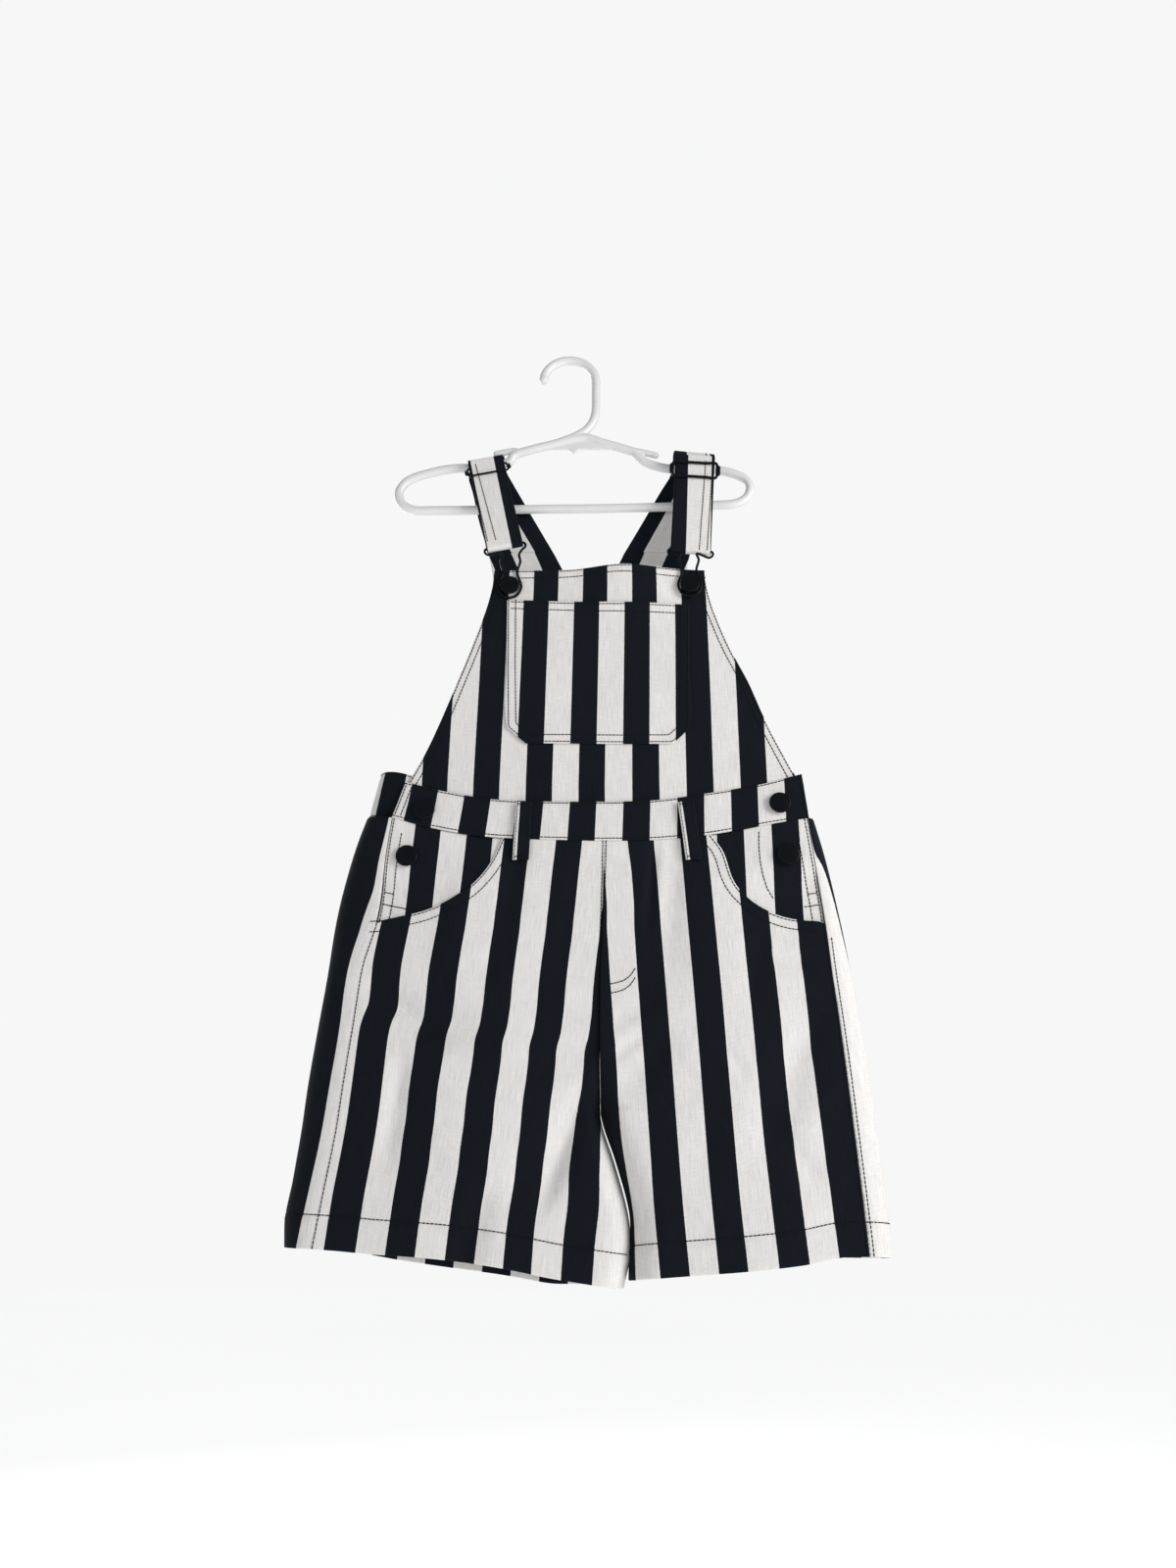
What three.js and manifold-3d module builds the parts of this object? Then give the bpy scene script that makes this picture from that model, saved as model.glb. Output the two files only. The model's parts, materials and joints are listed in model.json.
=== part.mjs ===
// Kids bib overalls with short legs, hanging by their straps on a moulded plastic hanger.
// Millimetres. +X is the viewer's right, +Y points away from the viewer, +Z is up.
// The origin is the inside top of the hook, where it rests on a rod.

import * as THREE from 'three';
import { mergeVertices } from 'three/addons/utils/BufferGeometryUtils.js';
import Module from 'manifold-3d';

const wasm = await Module();
wasm.setup();

// Cloth and seams
const TWILL = 1.6; // one layer
const LAPPED = 2.4; // two layers, as in the waistband
const STRAP_THICKNESS = 1.8;
const SEAM_GAP = 0.3; // between neighbouring pieces

// Body of the garment
const CENTRE = 25; // X of the centre front and centre back seams
const FRONT_CROWN = 3; // how far a leg's front stands out at its middle
const BACK_CROWN = 2;
const CROWN_STARTS = 0.15; // share of the leg's length over which the crown grows
const RISE_TURNS = 0.48; // where the centre seams start to curve under
const CROTCH = 0.646; // where they meet, as a share of the way from waistband to hem
const BACK_RISE = 4; // the back's waist seam is this much higher than the front's

// Waistband
const BAND_FRONT_TOP = 22.6; // distance of its outside in front of the hanger's plane
const BAND_FRONT_BOTTOM = 24.8;
const BACK_BAND_FRONT = 18.8; // the back band's ends lie behind the front band
const BACK_BAND_REAR = 22.6;

// Bib
const BIB_TOP = -238;
const BIB_RISE = { x: 38, width: 27, height: 2.6 }; // where the free top edge bows upward
const BIB_FRONT_TOP = 16;
const BIB_FRONT_BOTTOM = 20.6;
const BIB_WAVE = { x: 53, width: 38, depth: 8, fades: 0.3 };
const LAID_GAP = 0.5; // between a piece and the panel that it lies on
const POCKET_LIFT = LAID_GAP + TWILL;

// Back bib, and the straps cut in one with it
const STRAP_SEAM = -204.4; // where the straps' own solids begin
const BACK_BIB_TOP_Y = 9.2;
const BACK_BIB_BOTTOM_Y = 22;
const NECK = { left: -17, right: 47, top: -205, x: 16, bottom: -272 };

// Hardware
const BUTTON_RADIUS = 8.5;
const NECK_RADIUS = 4;
const SIDE_BUTTON_NECK = 1.2;
const WIRE = 1.1; // radius of the buckles' wire
const STRAP_LAYERS = 3.2; // between the two layers in front
const BAR_TO_FOLD = STRAP_LAYERS / 2 + STRAP_THICKNESS; // to the strap's lowest point

// Hanger
const TUBE = 4.1; // radius of the moulded tube
const HOOK = { x: -3.5, z: -20.7, radius: 25.1 };

const lerp = (a, b, t) => a + (b - a) * t;
const clamp01 = (t) => Math.min(1, Math.max(0, t));

function smoothstep(from, to, value) {
  const t = clamp01((value - from) / (to - from));
  return t * t * (3 - 2 * t);
}

// A table's columns, each read smoothly along the first one.
function table(columns, rows) {
  const keys = rows.map((row) => row[0]);
  const readers = {};
  columns.slice(1).forEach((name, k) => {
    const values = rows.map((row) => row[k + 1]);
    readers[name] = (at) => readSmoothly(keys, values, at);
  });
  return readers;
}

// Cubic through the rows, with each row's slope taken from its two neighbours.
function readSmoothly(keys, values, at) {
  const last = keys.length - 1;
  if (at <= keys[0]) return values[0];
  if (at >= keys[last]) return values[last];
  let i = 0;
  while (at > keys[i + 1]) i += 1;
  const slope = (k) => {
    const before = Math.max(0, k - 1);
    const after = Math.min(last, k + 1);
    return (values[after] - values[before]) / (keys[after] - keys[before]);
  };
  const span = keys[i + 1] - keys[i];
  const t = (at - keys[i]) / span;
  const blend = t * t * (3 - 2 * t);
  const bend = (t * (1 - t) * (1 - t) * slope(i) - t * t * (1 - t) * slope(i + 1)) * span;
  return lerp(values[i], values[i + 1], blend) + bend;
}

// Height of the front waist seam over the width of the garment
const WAIST_SEAM = table(['x', 'z'], [
  [-170, -466],
  [-143, -470],
  [-109, -479],
  [-66, -486],
  [-3, -489],
  [63, -489],
  [106, -485],
  [152, -477],
  [198, -469],
]);

// Each leg's outline: outer is its silhouette, seam its side seam, inner its inner edge.
// down runs from 0 at the waistband to 1 at the hem.
const LEGS = {
  left: {
    side: -1,
    outline: table(['down', 'outer', 'seam', 'inner', 'front', 'back', 'turn'], [
      [0.0, -167, -143, 25, 24, 22, 10],
      [0.1, -176, -146, 25, 24, 22, 10],
      [0.25, -185, -149, 25, 25, 23, 12],
      [0.4, -189, -160, 25, 26, 24, 14],
      [0.52, -193, -163, 25, 26, 24, 16],
      [0.646, -198, -167, 25, 26, 24, 18],
      [0.75, -201, -170, 34, 25, 23, 18],
      [0.86, -205, -175, 43, 24, 22, 18],
      [0.93, -208, -178, 43, 24, 22, 18],
      [1.0, -206, -181, 38, 24, 22, 18],
    ]),
    mouth: table(['down', 'x'], [
      [0.0, -54],
      [0.07, -63],
      [0.13, -76],
      [0.18, -94],
      [0.22, -115],
      [0.25, -136],
      [0.27, -151],
    ]),
    hem: table(['x', 'z', 'drop'], [
      [-206, -790.5, 0],
      [-186, -791.4, 0],
      [-165, -792.6, 0],
      [-142, -794.6, 2],
      [-120, -796, 4.2],
      [-90, -798.3, 6],
      [-50, -803.4, 6],
      [-14, -810.2, 5],
      [5, -813.2, 2.5],
      [20, -815.4, 0.6],
      [43, -818.4, 0],
    ]),
  },
  right: {
    side: 1,
    outline: table(['down', 'outer', 'seam', 'inner', 'front', 'back', 'turn'], [
      [0.0, 197, 189.5, 25, 24, 22, 10],
      [0.1, 203, 192.5, 25, 25, 24, 10],
      [0.25, 211, 197, 25, 26, 27, 12],
      [0.4, 219, 199.8, 25, 28, 30, 14],
      [0.52, 224, 202.5, 25, 29, 33, 18],
      [0.646, 227, 205, 25, 29, 34, 20],
      [0.75, 229, 206.8, 35, 29, 35, 22],
      [0.86, 231, 208.6, 44, 29, 35, 24],
      [0.93, 232, 209.6, 44.2, 29, 35, 24],
      [1.0, 231, 210.5, 43.4, 29, 35, 24],
    ]),
    mouth: table(['down', 'x'], [
      [0.0, 112],
      [0.05, 121],
      [0.13, 128],
      [0.18, 139],
      [0.22, 155],
      [0.25, 176],
      [0.27, 204],
    ]),
    hem: table(['x', 'z', 'drop'], [
      [43, -812, 1.5],
      [85, -809, 1.5],
      [126, -806, 1.5],
      [164, -802, 1.5],
      [192, -797, 1.5],
      [231, -797, 1.5],
    ]),
  },
};

// The largest folds: a soft trough along a line, as deep as it is in its middle.
// face is -1 on the front and 1 on the back.
const FOLDS = [
  { face: -1, from: [82, -500], to: [72, -590], width: 13, depth: 3.5 },
  { face: -1, from: [-182, -600], to: [-70, -640], width: 15, depth: 4 },
  { face: -1, from: [18, -690], to: [-40, -760], width: 14, depth: 3.5 },
  { face: -1, from: [176, -640], to: [140, -735], width: 14, depth: 3 },
  { face: -1, from: [34, -690], to: [80, -640], width: 12, depth: 2.5 },
  { face: 1, from: [-120, -610], to: [-20, -690], width: 18, depth: 4 },
  { face: 1, from: [160, -600], to: [70, -690], width: 18, depth: 4 },
  { face: 1, from: [-90, -520], to: [-110, -620], width: 15, depth: 3 },
];

function foldDepth(face, x, z) {
  let total = 0;
  for (const fold of FOLDS) {
    if (fold.face !== face) continue;
    const [x0, z0] = fold.from;
    const [x1, z1] = fold.to;
    const length2 = (x1 - x0) ** 2 + (z1 - z0) ** 2;
    const along = ((x - x0) * (x1 - x0) + (z - z0) * (z1 - z0)) / length2;
    const across = ((x - x0) * (z1 - z0) - (z - z0) * (x1 - x0)) / Math.sqrt(length2);
    const fade = Math.exp(-(((along - 0.5) * 2) ** 4));
    total += fold.depth * fade * Math.exp(-((across / fold.width) ** 2));
  }
  return total;
}

// A closed wall of cloth. points is a grid on its outside; the inside is offset along the
// normals, or along each point's own normal where it has one. facing is the direction that
// the outside faces at the middle of the grid.
function clothWall(points, thickness, facing) {
  const rows = points.length;
  const columns = points[0].length;
  const normalAt = (i, j) => {
    const down = points[Math.min(rows - 1, i + 1)][j].clone().sub(points[Math.max(0, i - 1)][j]);
    const across = points[i][Math.min(columns - 1, j + 1)].clone().sub(points[i][Math.max(0, j - 1)]);
    return across.cross(down).normalize();
  };
  if (normalAt(rows >> 1, columns >> 1).dot(facing) < 0) {
    return clothWall(points.map((row) => [...row].reverse()), thickness, facing);
  }
  const positions = [];
  const index = [];
  for (const side of [0, 1]) {
    for (let i = 0; i < rows; i += 1) {
      for (let j = 0; j < columns; j += 1) {
        const normal = points[i][j].normal ?? normalAt(i, j);
        const p = points[i][j].clone().addScaledVector(normal, -side * thickness);
        positions.push(p.x, p.y, p.z);
      }
    }
  }
  const inner = rows * columns;
  const id = (i, j) => i * columns + j;
  const quad = (a, b, c, d) => index.push(a, b, c, a, c, d);
  for (let i = 0; i + 1 < rows; i += 1) {
    for (let j = 0; j + 1 < columns; j += 1) {
      const corners = [id(i, j), id(i, j + 1), id(i + 1, j + 1), id(i + 1, j)];
      quad(...corners);
      quad(...corners.map((k) => k + inner).reverse());
    }
  }
  const edge = (a, b) => quad(b, a, a + inner, b + inner);
  for (let j = 0; j + 1 < columns; j += 1) {
    edge(id(0, j), id(0, j + 1));
    edge(id(rows - 1, j + 1), id(rows - 1, j));
  }
  for (let i = 0; i + 1 < rows; i += 1) {
    edge(id(i + 1, 0), id(i, 0));
    edge(id(i, columns - 1), id(i + 1, columns - 1));
  }
  const geometry = new THREE.BufferGeometry();
  geometry.setAttribute('position', new THREE.Float32BufferAttribute(positions, 3));
  geometry.setIndex(index);
  return geometry;
}

const FORWARD = new THREE.Vector3(0, -1, 0);
const BACKWARD = new THREE.Vector3(0, 1, 0);

// Boolean joins and cuts
function toSolid(geometry) {
  const bare = geometry.clone();
  bare.deleteAttribute('normal');
  bare.deleteAttribute('uv');
  const merged = mergeVertices(bare, 1e-3);
  const vertProperties = merged.attributes.position.array;
  const triVerts = new Uint32Array(merged.index.array);
  return new wasm.Manifold(new wasm.Mesh({ numProp: 3, vertProperties, triVerts }));
}

function toGeometry(solid) {
  const mesh = solid.getMesh();
  const geometry = new THREE.BufferGeometry();
  geometry.setAttribute('position', new THREE.Float32BufferAttribute(mesh.vertProperties, 3));
  geometry.setIndex([...mesh.triVerts]);
  return geometry;
}

const joined = (...geometries) =>
  toGeometry(geometries.map(toSolid).reduce((whole, part) => whole.add(part)));

const cut = (body, tool) => toGeometry(toSolid(body).subtract(toSolid(tool)));

// Points along a path, closer at both ends, with the path's normal (na, ny) at each. trim is
// left off at both ends.
function spread(path, count, trim) {
  const lengths = [0];
  for (let k = 1; k < path.length; k += 1) {
    lengths.push(lengths[k - 1] + Math.hypot(path[k].a - path[k - 1].a, path[k].y - path[k - 1].y));
  }
  const whole = lengths[lengths.length - 1];
  const points = [];
  for (let n = 0; n <= count; n += 1) {
    const even = n / count;
    const eased = (even + (1 - Math.cos(Math.PI * even)) / 2) / 2;
    const at = lerp(trim, whole - trim, eased);
    let k = 1;
    while (k < path.length - 1 && lengths[k] < at) k += 1;
    const step = lengths[k] - lengths[k - 1];
    const t = (at - lengths[k - 1]) / step;
    const da = (path[k].a - path[k - 1].a) / step;
    const dy = (path[k].y - path[k - 1].y) / step;
    points.push({ a: lerp(path[k - 1].a, path[k].a, t), y: lerp(path[k - 1].y, path[k].y, t), na: dy, ny: -da });
  }
  return points;
}

// One level of a leg seen from above. a runs outward from the centre seam's plane.
function legLevel(leg, down) {
  const read = (name) => leg.outline[name](down);
  const outward = (x) => leg.side * (x - CENTRE);
  const t = clamp01((down - RISE_TURNS) / (CROTCH - RISE_TURNS));
  const open = Math.sqrt(1 - t * t); // 1 where the centre seams are, 0 where the leg is closed
  const turn = read('turn');
  return {
    front: read('front'),
    back: read('back'),
    turn,
    outer: outward(read('outer')),
    seam: outward(read('seam')),
    turnCentre: outward(down < CROTCH ? CENTRE : read('inner')) + turn * Math.sqrt(1 - open * open),
    startAngle: Math.asin(open),
    crown: smoothstep(0, CROWN_STARTS, down),
  };
}

const QUARTER_STEPS = 24;
const FLAT_STEPS = 30;

// The inner turn of a leg, from the centre seam or inseam to the flat of the front or back.
function innerTurn(level, depth) {
  const path = [];
  for (let k = 0; k <= QUARTER_STEPS; k += 1) {
    const angle = lerp(level.startAngle, Math.PI / 2, k / QUARTER_STEPS);
    path.push({ a: level.turnCentre - level.turn * Math.cos(angle), y: depth * Math.sin(angle) });
  }
  return path;
}

function flat(level, from, to, whole, depth, crown) {
  const path = [];
  for (let k = 1; k <= FLAT_STEPS; k += 1) {
    const a = lerp(from, to, k / FLAT_STEPS);
    const arch = Math.sin((Math.PI * (a - from)) / (whole - from)) ** 2;
    path.push({ a, y: depth + Math.sign(depth) * crown * level.crown * arch });
  }
  return path;
}

// How far down a leg the pocket mouth meets the side seam
const MOUTH_END = 0.27;

function frontPath(leg, down) {
  const level = legLevel(leg, down);
  const mouth = leg.side * (leg.mouth.x(down) - CENTRE);
  const limit = down < MOUTH_END ? Math.min(level.seam, mouth) : level.seam;
  const turn = innerTurn(level, -level.front);
  return [...turn, ...flat(level, level.turnCentre, limit, level.seam, -level.front, FRONT_CROWN)];
}

function backPath(leg, down) {
  const level = legLevel(leg, down);
  const sweep = 34; // width of the turn from the side to the back
  const path = [];
  for (let k = 0; k <= QUARTER_STEPS; k += 1) {
    const angle = (Math.PI / 2) * (k / QUARTER_STEPS);
    const a = lerp(level.seam, level.outer, Math.sin(angle));
    path.push({ a, y: -level.front * Math.cos(angle) });
  }
  for (let k = 1; k <= QUARTER_STEPS; k += 1) {
    const angle = (Math.PI / 2) * (k / QUARTER_STEPS);
    path.push({ a: level.outer - sweep * (1 - Math.cos(angle)), y: level.back * Math.sin(angle) });
  }
  const from = level.turnCentre;
  const to = level.outer - sweep;
  const rear = flat(level, from, to, to, level.back, BACK_CROWN).slice(0, -1).reverse();
  return [...path, ...rear, ...innerTurn(level, level.back).reverse()];
}

// A point of a leg in space. Folds press the flat of the front and back inward.
function legPoint(leg, down, { a, y, na, ny }) {
  const front = leg.outline.front(down);
  const back = leg.outline.back(down);
  const x = CENTRE + leg.side * a;
  const share = clamp01((y + front) / (front + back));
  const top = WAIST_SEAM.z(x) + BACK_RISE * share - SEAM_GAP;
  const z = lerp(top, leg.hem.z(x) - leg.hem.drop(x) * share, down);
  const press = y < 0 ? foldDepth(-1, x, z) * (y / -front) : -foldDepth(1, x, z) * (y / back);
  const point = new THREE.Vector3(x, y + press, z);
  point.normal = new THREE.Vector3(leg.side * na, ny, 0);
  return point;
}

// Depth of a leg's front at a place on it
function frontAt(leg, x, z) {
  const top = WAIST_SEAM.z(x);
  const down = clamp01((top - z) / (top - leg.hem.z(x)));
  const level = legLevel(leg, down);
  const share = (leg.side * (x - CENTRE) - level.turnCentre) / (level.seam - level.turnCentre);
  const arch = Math.sin(Math.PI * clamp01(share)) ** 2;
  return foldDepth(-1, x, z) - level.front - FRONT_CROWN * level.crown * arch;
}

const SHARED_ROWS = [0.27, 0.33, 0.4, 0.48, 0.54, 0.59, 0.625, CROTCH, 0.683, 0.75, 0.8, 0.86, 0.93, 1];
const FRONT_ROWS = [0, 0.05, 0.1, 0.14, 0.18, 0.21, 0.24, ...SHARED_ROWS];
const BACK_ROWS = [0, 0.1, 0.18, ...SHARED_ROWS];
const FACING_ROWS = [0, 0.05, 0.1, 0.14, 0.18, 0.22, 0.27, 0.33];
const FRONT_COLUMNS = 12;
const BACK_COLUMNS = 18;

function legFront(leg) {
  const grid = FRONT_ROWS.map((down) =>
    spread(frontPath(leg, down), FRONT_COLUMNS, SEAM_GAP / 2).map((p) => legPoint(leg, down, p)));
  return clothWall(grid, TWILL, FORWARD);
}

function legBack(leg) {
  const grid = BACK_ROWS.map((down) =>
    spread(backPath(leg, down), BACK_COLUMNS, SEAM_GAP / 2).map((p) => legPoint(leg, down, p)));
  return clothWall(grid, TWILL, BACKWARD);
}

// The facing that shows in a pocket's mouth. It starts behind the front and comes forward
// to the placket at the side.
function pocketFacing(leg) {
  const underlap = 14;
  const columns = 8;
  const behind = TWILL + LAID_GAP;
  const grid = FACING_ROWS.map((down) => {
    const level = legLevel(leg, down);
    const outward = (at) => leg.side * (leg.mouth.x(at) - CENTRE);
    const start = outward(Math.min(down, 0.14)) - underlap;
    const end = level.seam - 2 * SEAM_GAP;
    const points = [];
    for (let n = 0; n <= columns; n += 1) {
      const a = lerp(start, end, n / columns);
      const arch = Math.sin((Math.PI * (a - level.turnCentre)) / (level.seam - level.turnCentre));
      const outside = -level.front - FRONT_CROWN * level.crown * arch ** 2;
      const lift = smoothstep(outward(down) + 12, end - 8, a) * (1 - smoothstep(0.12, 0.18, down));
      const p = legPoint(leg, down, { a, y: outside, na: 0, ny: -1 });
      p.y += behind * (1 - lift);
      points.push(p);
    }
    return points;
  });
  return clothWall(grid, TWILL, FORWARD);
}

// Waistband
const BAND_TOP = table(['x', 'z'], [
  [-134, -439],
  [-103, -447],
  [-62, -454],
  [1, -456],
  [65, -455],
  [109, -449],
  [154, -441],
  [188, -432],
]);
const BAND_ENDS = { left: { top: -134, bottom: -143 }, right: { top: 188, bottom: 191 } };
const BAND_COLUMNS = 20;
const BAND_ROWS = 3;

function waistbandFront() {
  const grid = [];
  for (let i = 0; i <= BAND_ROWS; i += 1) {
    const t = i / BAND_ROWS;
    const left = lerp(BAND_ENDS.left.top, BAND_ENDS.left.bottom, t);
    const right = lerp(BAND_ENDS.right.top, BAND_ENDS.right.bottom, t);
    const row = [];
    for (let j = 0; j <= BAND_COLUMNS; j += 1) {
      const x = lerp(left, right, j / BAND_COLUMNS);
      const y = -lerp(BAND_FRONT_TOP, BAND_FRONT_BOTTOM, t);
      row.push(new THREE.Vector3(x, y, lerp(BAND_TOP.z(x), WAIST_SEAM.z(x), t)));
    }
    grid.push(row);
  }
  return clothWall(grid, LAPPED, FORWARD);
}

// Depth of the front band's outside
function bandAt(x, z) {
  const t = clamp01((BAND_TOP.z(x) - z) / (BAND_TOP.z(x) - WAIST_SEAM.z(x)));
  return -lerp(BAND_FRONT_TOP, BAND_FRONT_BOTTOM, t);
}

// The back band runs from behind the front band's left end, round the back, to its right end.
const BACK_BAND_HEIGHT = table(['x', 'height'], [
  [-165, 41],
  [0, 40],
  [195, 35],
]);

function backBandPath(t) {
  const left = lerp(-158, -165.5, t);
  const right = lerp(192.5, 196, t);
  const sweep = { front: 24, rear: 34 };
  const path = [{ a: lerp(-116, -120, t), y: -BACK_BAND_FRONT }];
  const turn = (tip, inward, depthFrom, depthTo) => {
    for (let k = 0; k <= QUARTER_STEPS; k += 1) {
      const angle = (Math.PI / 2) * (k / QUARTER_STEPS);
      path.push({ a: tip + inward * sweep.front * (1 - Math.sin(angle)), y: depthFrom * Math.cos(angle) });
    }
    for (let k = 1; k <= QUARTER_STEPS; k += 1) {
      const angle = (Math.PI / 2) * (k / QUARTER_STEPS);
      path.push({ a: tip + inward * sweep.rear * (1 - Math.cos(angle)), y: depthTo * Math.sin(angle) });
    }
  };
  turn(left, 1, -BACK_BAND_FRONT, BACK_BAND_REAR);
  const half = path.length;
  turn(right, -1, -BACK_BAND_FRONT, BACK_BAND_REAR);
  const rightSide = path.splice(half).reverse();
  return [...path, ...rightSide, { a: lerp(166, 170, t), y: -BACK_BAND_FRONT }];
}

function backBandBottom(x, y) {
  const share = clamp01((y + BACK_BAND_REAR) / (2 * BACK_BAND_REAR));
  return WAIST_SEAM.z(x) + BACK_RISE * share + SEAM_GAP;
}

function waistbandBack() {
  const columns = 34;
  const grid = [];
  for (let i = 0; i <= BAND_ROWS; i += 1) {
    const t = i / BAND_ROWS;
    grid.push(spread(backBandPath(t), columns, 0).map(({ a, y }) => {
      const bottom = backBandBottom(a, y);
      return new THREE.Vector3(a, y, lerp(bottom + BACK_BAND_HEIGHT.height(a), bottom, t));
    }));
  }
  return clothWall(grid, LAPPED, BACKWARD);
}

// Bib
const BIB_SIDES = table(['drop', 'left', 'right'], [
  [0, -68, 116.5],
  [18, -69.8, 118.5],
  [40, -75, 123.5],
  [75, -86, 135.5],
  [106, -96.6, 148.5],
  [140, -108, 160],
  [170, -119, 171.5],
  [200, -132, 183],
]);
const BIB_COLUMNS = 14;
const BIB_ROWS = 12;
const BIB_LENGTH = 200;

// Outside of the bib. wave is the soft bow of its free top edge.
function bibDepth(x, z) {
  const t = clamp01((BIB_TOP - z) / BIB_LENGTH);
  const wave = BIB_WAVE.depth * Math.exp(-(((x - BIB_WAVE.x) / BIB_WAVE.width) ** 2));
  return -lerp(BIB_FRONT_TOP, BIB_FRONT_BOTTOM, t) - wave * (1 - smoothstep(0, BIB_WAVE.fades, t));
}

function bibFront() {
  const grid = [];
  for (let i = 0; i <= BIB_ROWS; i += 1) {
    const t = i / BIB_ROWS;
    const row = [];
    for (let j = 0; j <= BIB_COLUMNS; j += 1) {
      const drop = t * BIB_LENGTH;
      const x = lerp(BIB_SIDES.left(drop), BIB_SIDES.right(drop), j / BIB_COLUMNS);
      const rise = BIB_RISE.height * Math.exp(-(((x - BIB_RISE.x) / BIB_RISE.width) ** 2));
      const z = lerp(BIB_TOP + rise, BAND_TOP.z(x) + SEAM_GAP, t);
      row.push(new THREE.Vector3(x, bibDepth(x, z), z));
    }
    grid.push(row);
  }
  return clothWall(grid, TWILL, FORWARD);
}

// Patch pocket with two cut corners at the bottom
const POCKET_SIDES = table(['drop', 'left', 'right'], [
  [0, -56, 102],
  [60, -55, 100],
  [118, -53, 98],
  [132, -37, 84],
]);
const POCKET_TOP = { left: -269, right: -274 };

function bibPocket() {
  const grid = [];
  const drops = [0, 20, 40, 60, 80, 100, 118, 125, 132];
  for (const drop of drops) {
    const row = [];
    for (let j = 0; j <= 10; j += 1) {
      const x = lerp(POCKET_SIDES.left(drop), POCKET_SIDES.right(drop), j / 10);
      const top = lerp(POCKET_TOP.left, POCKET_TOP.right, j / 10);
      const z = lerp(top, -405, drop / 132);
      row.push(new THREE.Vector3(x, bibDepth(x, z) - POCKET_LIFT, z));
    }
    grid.push(row);
  }
  return clothWall(grid, TWILL, FORWARD);
}

// Back bib: a tapering panel with the V of the neck cut out of it
const BACK_BIB_SIDES = table(['z', 'left', 'right'], [
  [-440, -130, 179],
  [-387, -110, 158],
  [-342, -92, 136],
  [-281, -71, 112],
  [-250, -69, 105],
  [-219, -73, 104],
  [-204, -77, 107],
]);

const backBibDepth = (z) => lerp(BACK_BIB_TOP_Y, BACK_BIB_BOTTOM_Y, clamp01((STRAP_SEAM - z) / 220));

function backBib() {
  const rows = 14;
  const columns = 16;
  const grid = [];
  for (let i = 0; i <= rows; i += 1) {
    const t = i / rows;
    const row = [];
    for (let j = 0; j <= columns; j += 1) {
      const level = lerp(STRAP_SEAM - SEAM_GAP, -436, t);
      const x = lerp(BACK_BIB_SIDES.left(level), BACK_BIB_SIDES.right(level), j / columns);
      const seam = backBandBottom(x, BACK_BAND_REAR) + BACK_BAND_HEIGHT.height(x) + SEAM_GAP;
      const z = lerp(STRAP_SEAM - SEAM_GAP, seam, t);
      row.push(new THREE.Vector3(x, backBibDepth(z), z));
    }
    grid.push(row);
  }
  const slope = (x) => ((x - NECK.x) * 2) / (NECK.top - NECK.bottom);
  const above = 20;
  const outline = new THREE.Shape([
    new THREE.Vector2(NECK.x, NECK.bottom),
    new THREE.Vector2(NECK.right + slope(NECK.right) * above / 2, NECK.top + above),
    new THREE.Vector2(NECK.left + slope(NECK.left) * above / 2, NECK.top + above),
  ]);
  const wedge = new THREE.ExtrudeGeometry(outline, { depth: 60, bevelEnabled: false });
  wedge.rotateX(Math.PI / 2);
  wedge.translate(0, 40, 0);
  return cut(clothWall(grid, TWILL, BACKWARD), wedge);
}

// Straps. Each goes up from the back bib, over the hanger's arm, down through the slider and
// round the buckle's bar, and up again in front. arm is the arm's centre under the strap.
const STRAPS = {
  left: {
    back: table(['share', 'x', 'y', 'z', 'width', 'tilt'], [
      [0, -47, BACK_BIB_TOP_Y, STRAP_SEAM, 59, 0],
      [0.4, -61, 8.6, -170, 50, 2],
      [0.75, -71.5, 7.8, -142, 41, 5],
      [1, -79, 6.8, -124, 36, 10],
    ]),
    loop: { x: -80.2, y: 0, z: -116.6, radius: 6.5, width: 34, tilt: 11 },
    fold: { x: -59, z: -216.3 },
    width: 32.5,
    outerEnd: -1,
  },
  right: {
    back: table(['share', 'x', 'y', 'z', 'width', 'tilt'], [
      [0, 77, BACK_BIB_TOP_Y, STRAP_SEAM, 59, 0],
      [0.4, 91, 8.6, -170, 50, -1],
      [0.75, 102, 7.6, -142, 42, -3],
      [1, 109, 6.8, -128, 38.5, -7],
    ]),
    loop: { x: 112, y: -4.4, z: -118.4, radius: 10.9, width: 38, tilt: -7.5 },
    fold: { x: 104.5, z: -221 },
    width: 35.5,
    outerEnd: 1,
  },
};
const BAR_Y = -16; // the buckle bar's distance in front of the hanger's plane
const TURN_STEPS = 6;

// The front run of a strap: its direction down, its direction across and its bar.
function strapFrame(strap) {
  const { loop, fold } = strap;
  const length = Math.hypot(fold.x - loop.x, fold.z - loop.z);
  const down = new THREE.Vector3((fold.x - loop.x) / length, 0, (fold.z - loop.z) / length);
  const across = new THREE.Vector3(-down.z, 0, down.x);
  return { down, across, start: new THREE.Vector3(loop.x, 0, loop.z), bar: length - BAR_TO_FOLD };
}

// Depth of the inner layer's front face, p below the arm's centre
function innerLayer(strap, frame, p) {
  return lerp(strap.loop.y - strap.loop.radius, BAR_Y + STRAP_LAYERS / 2, clamp01(p / frame.bar));
}

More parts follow.
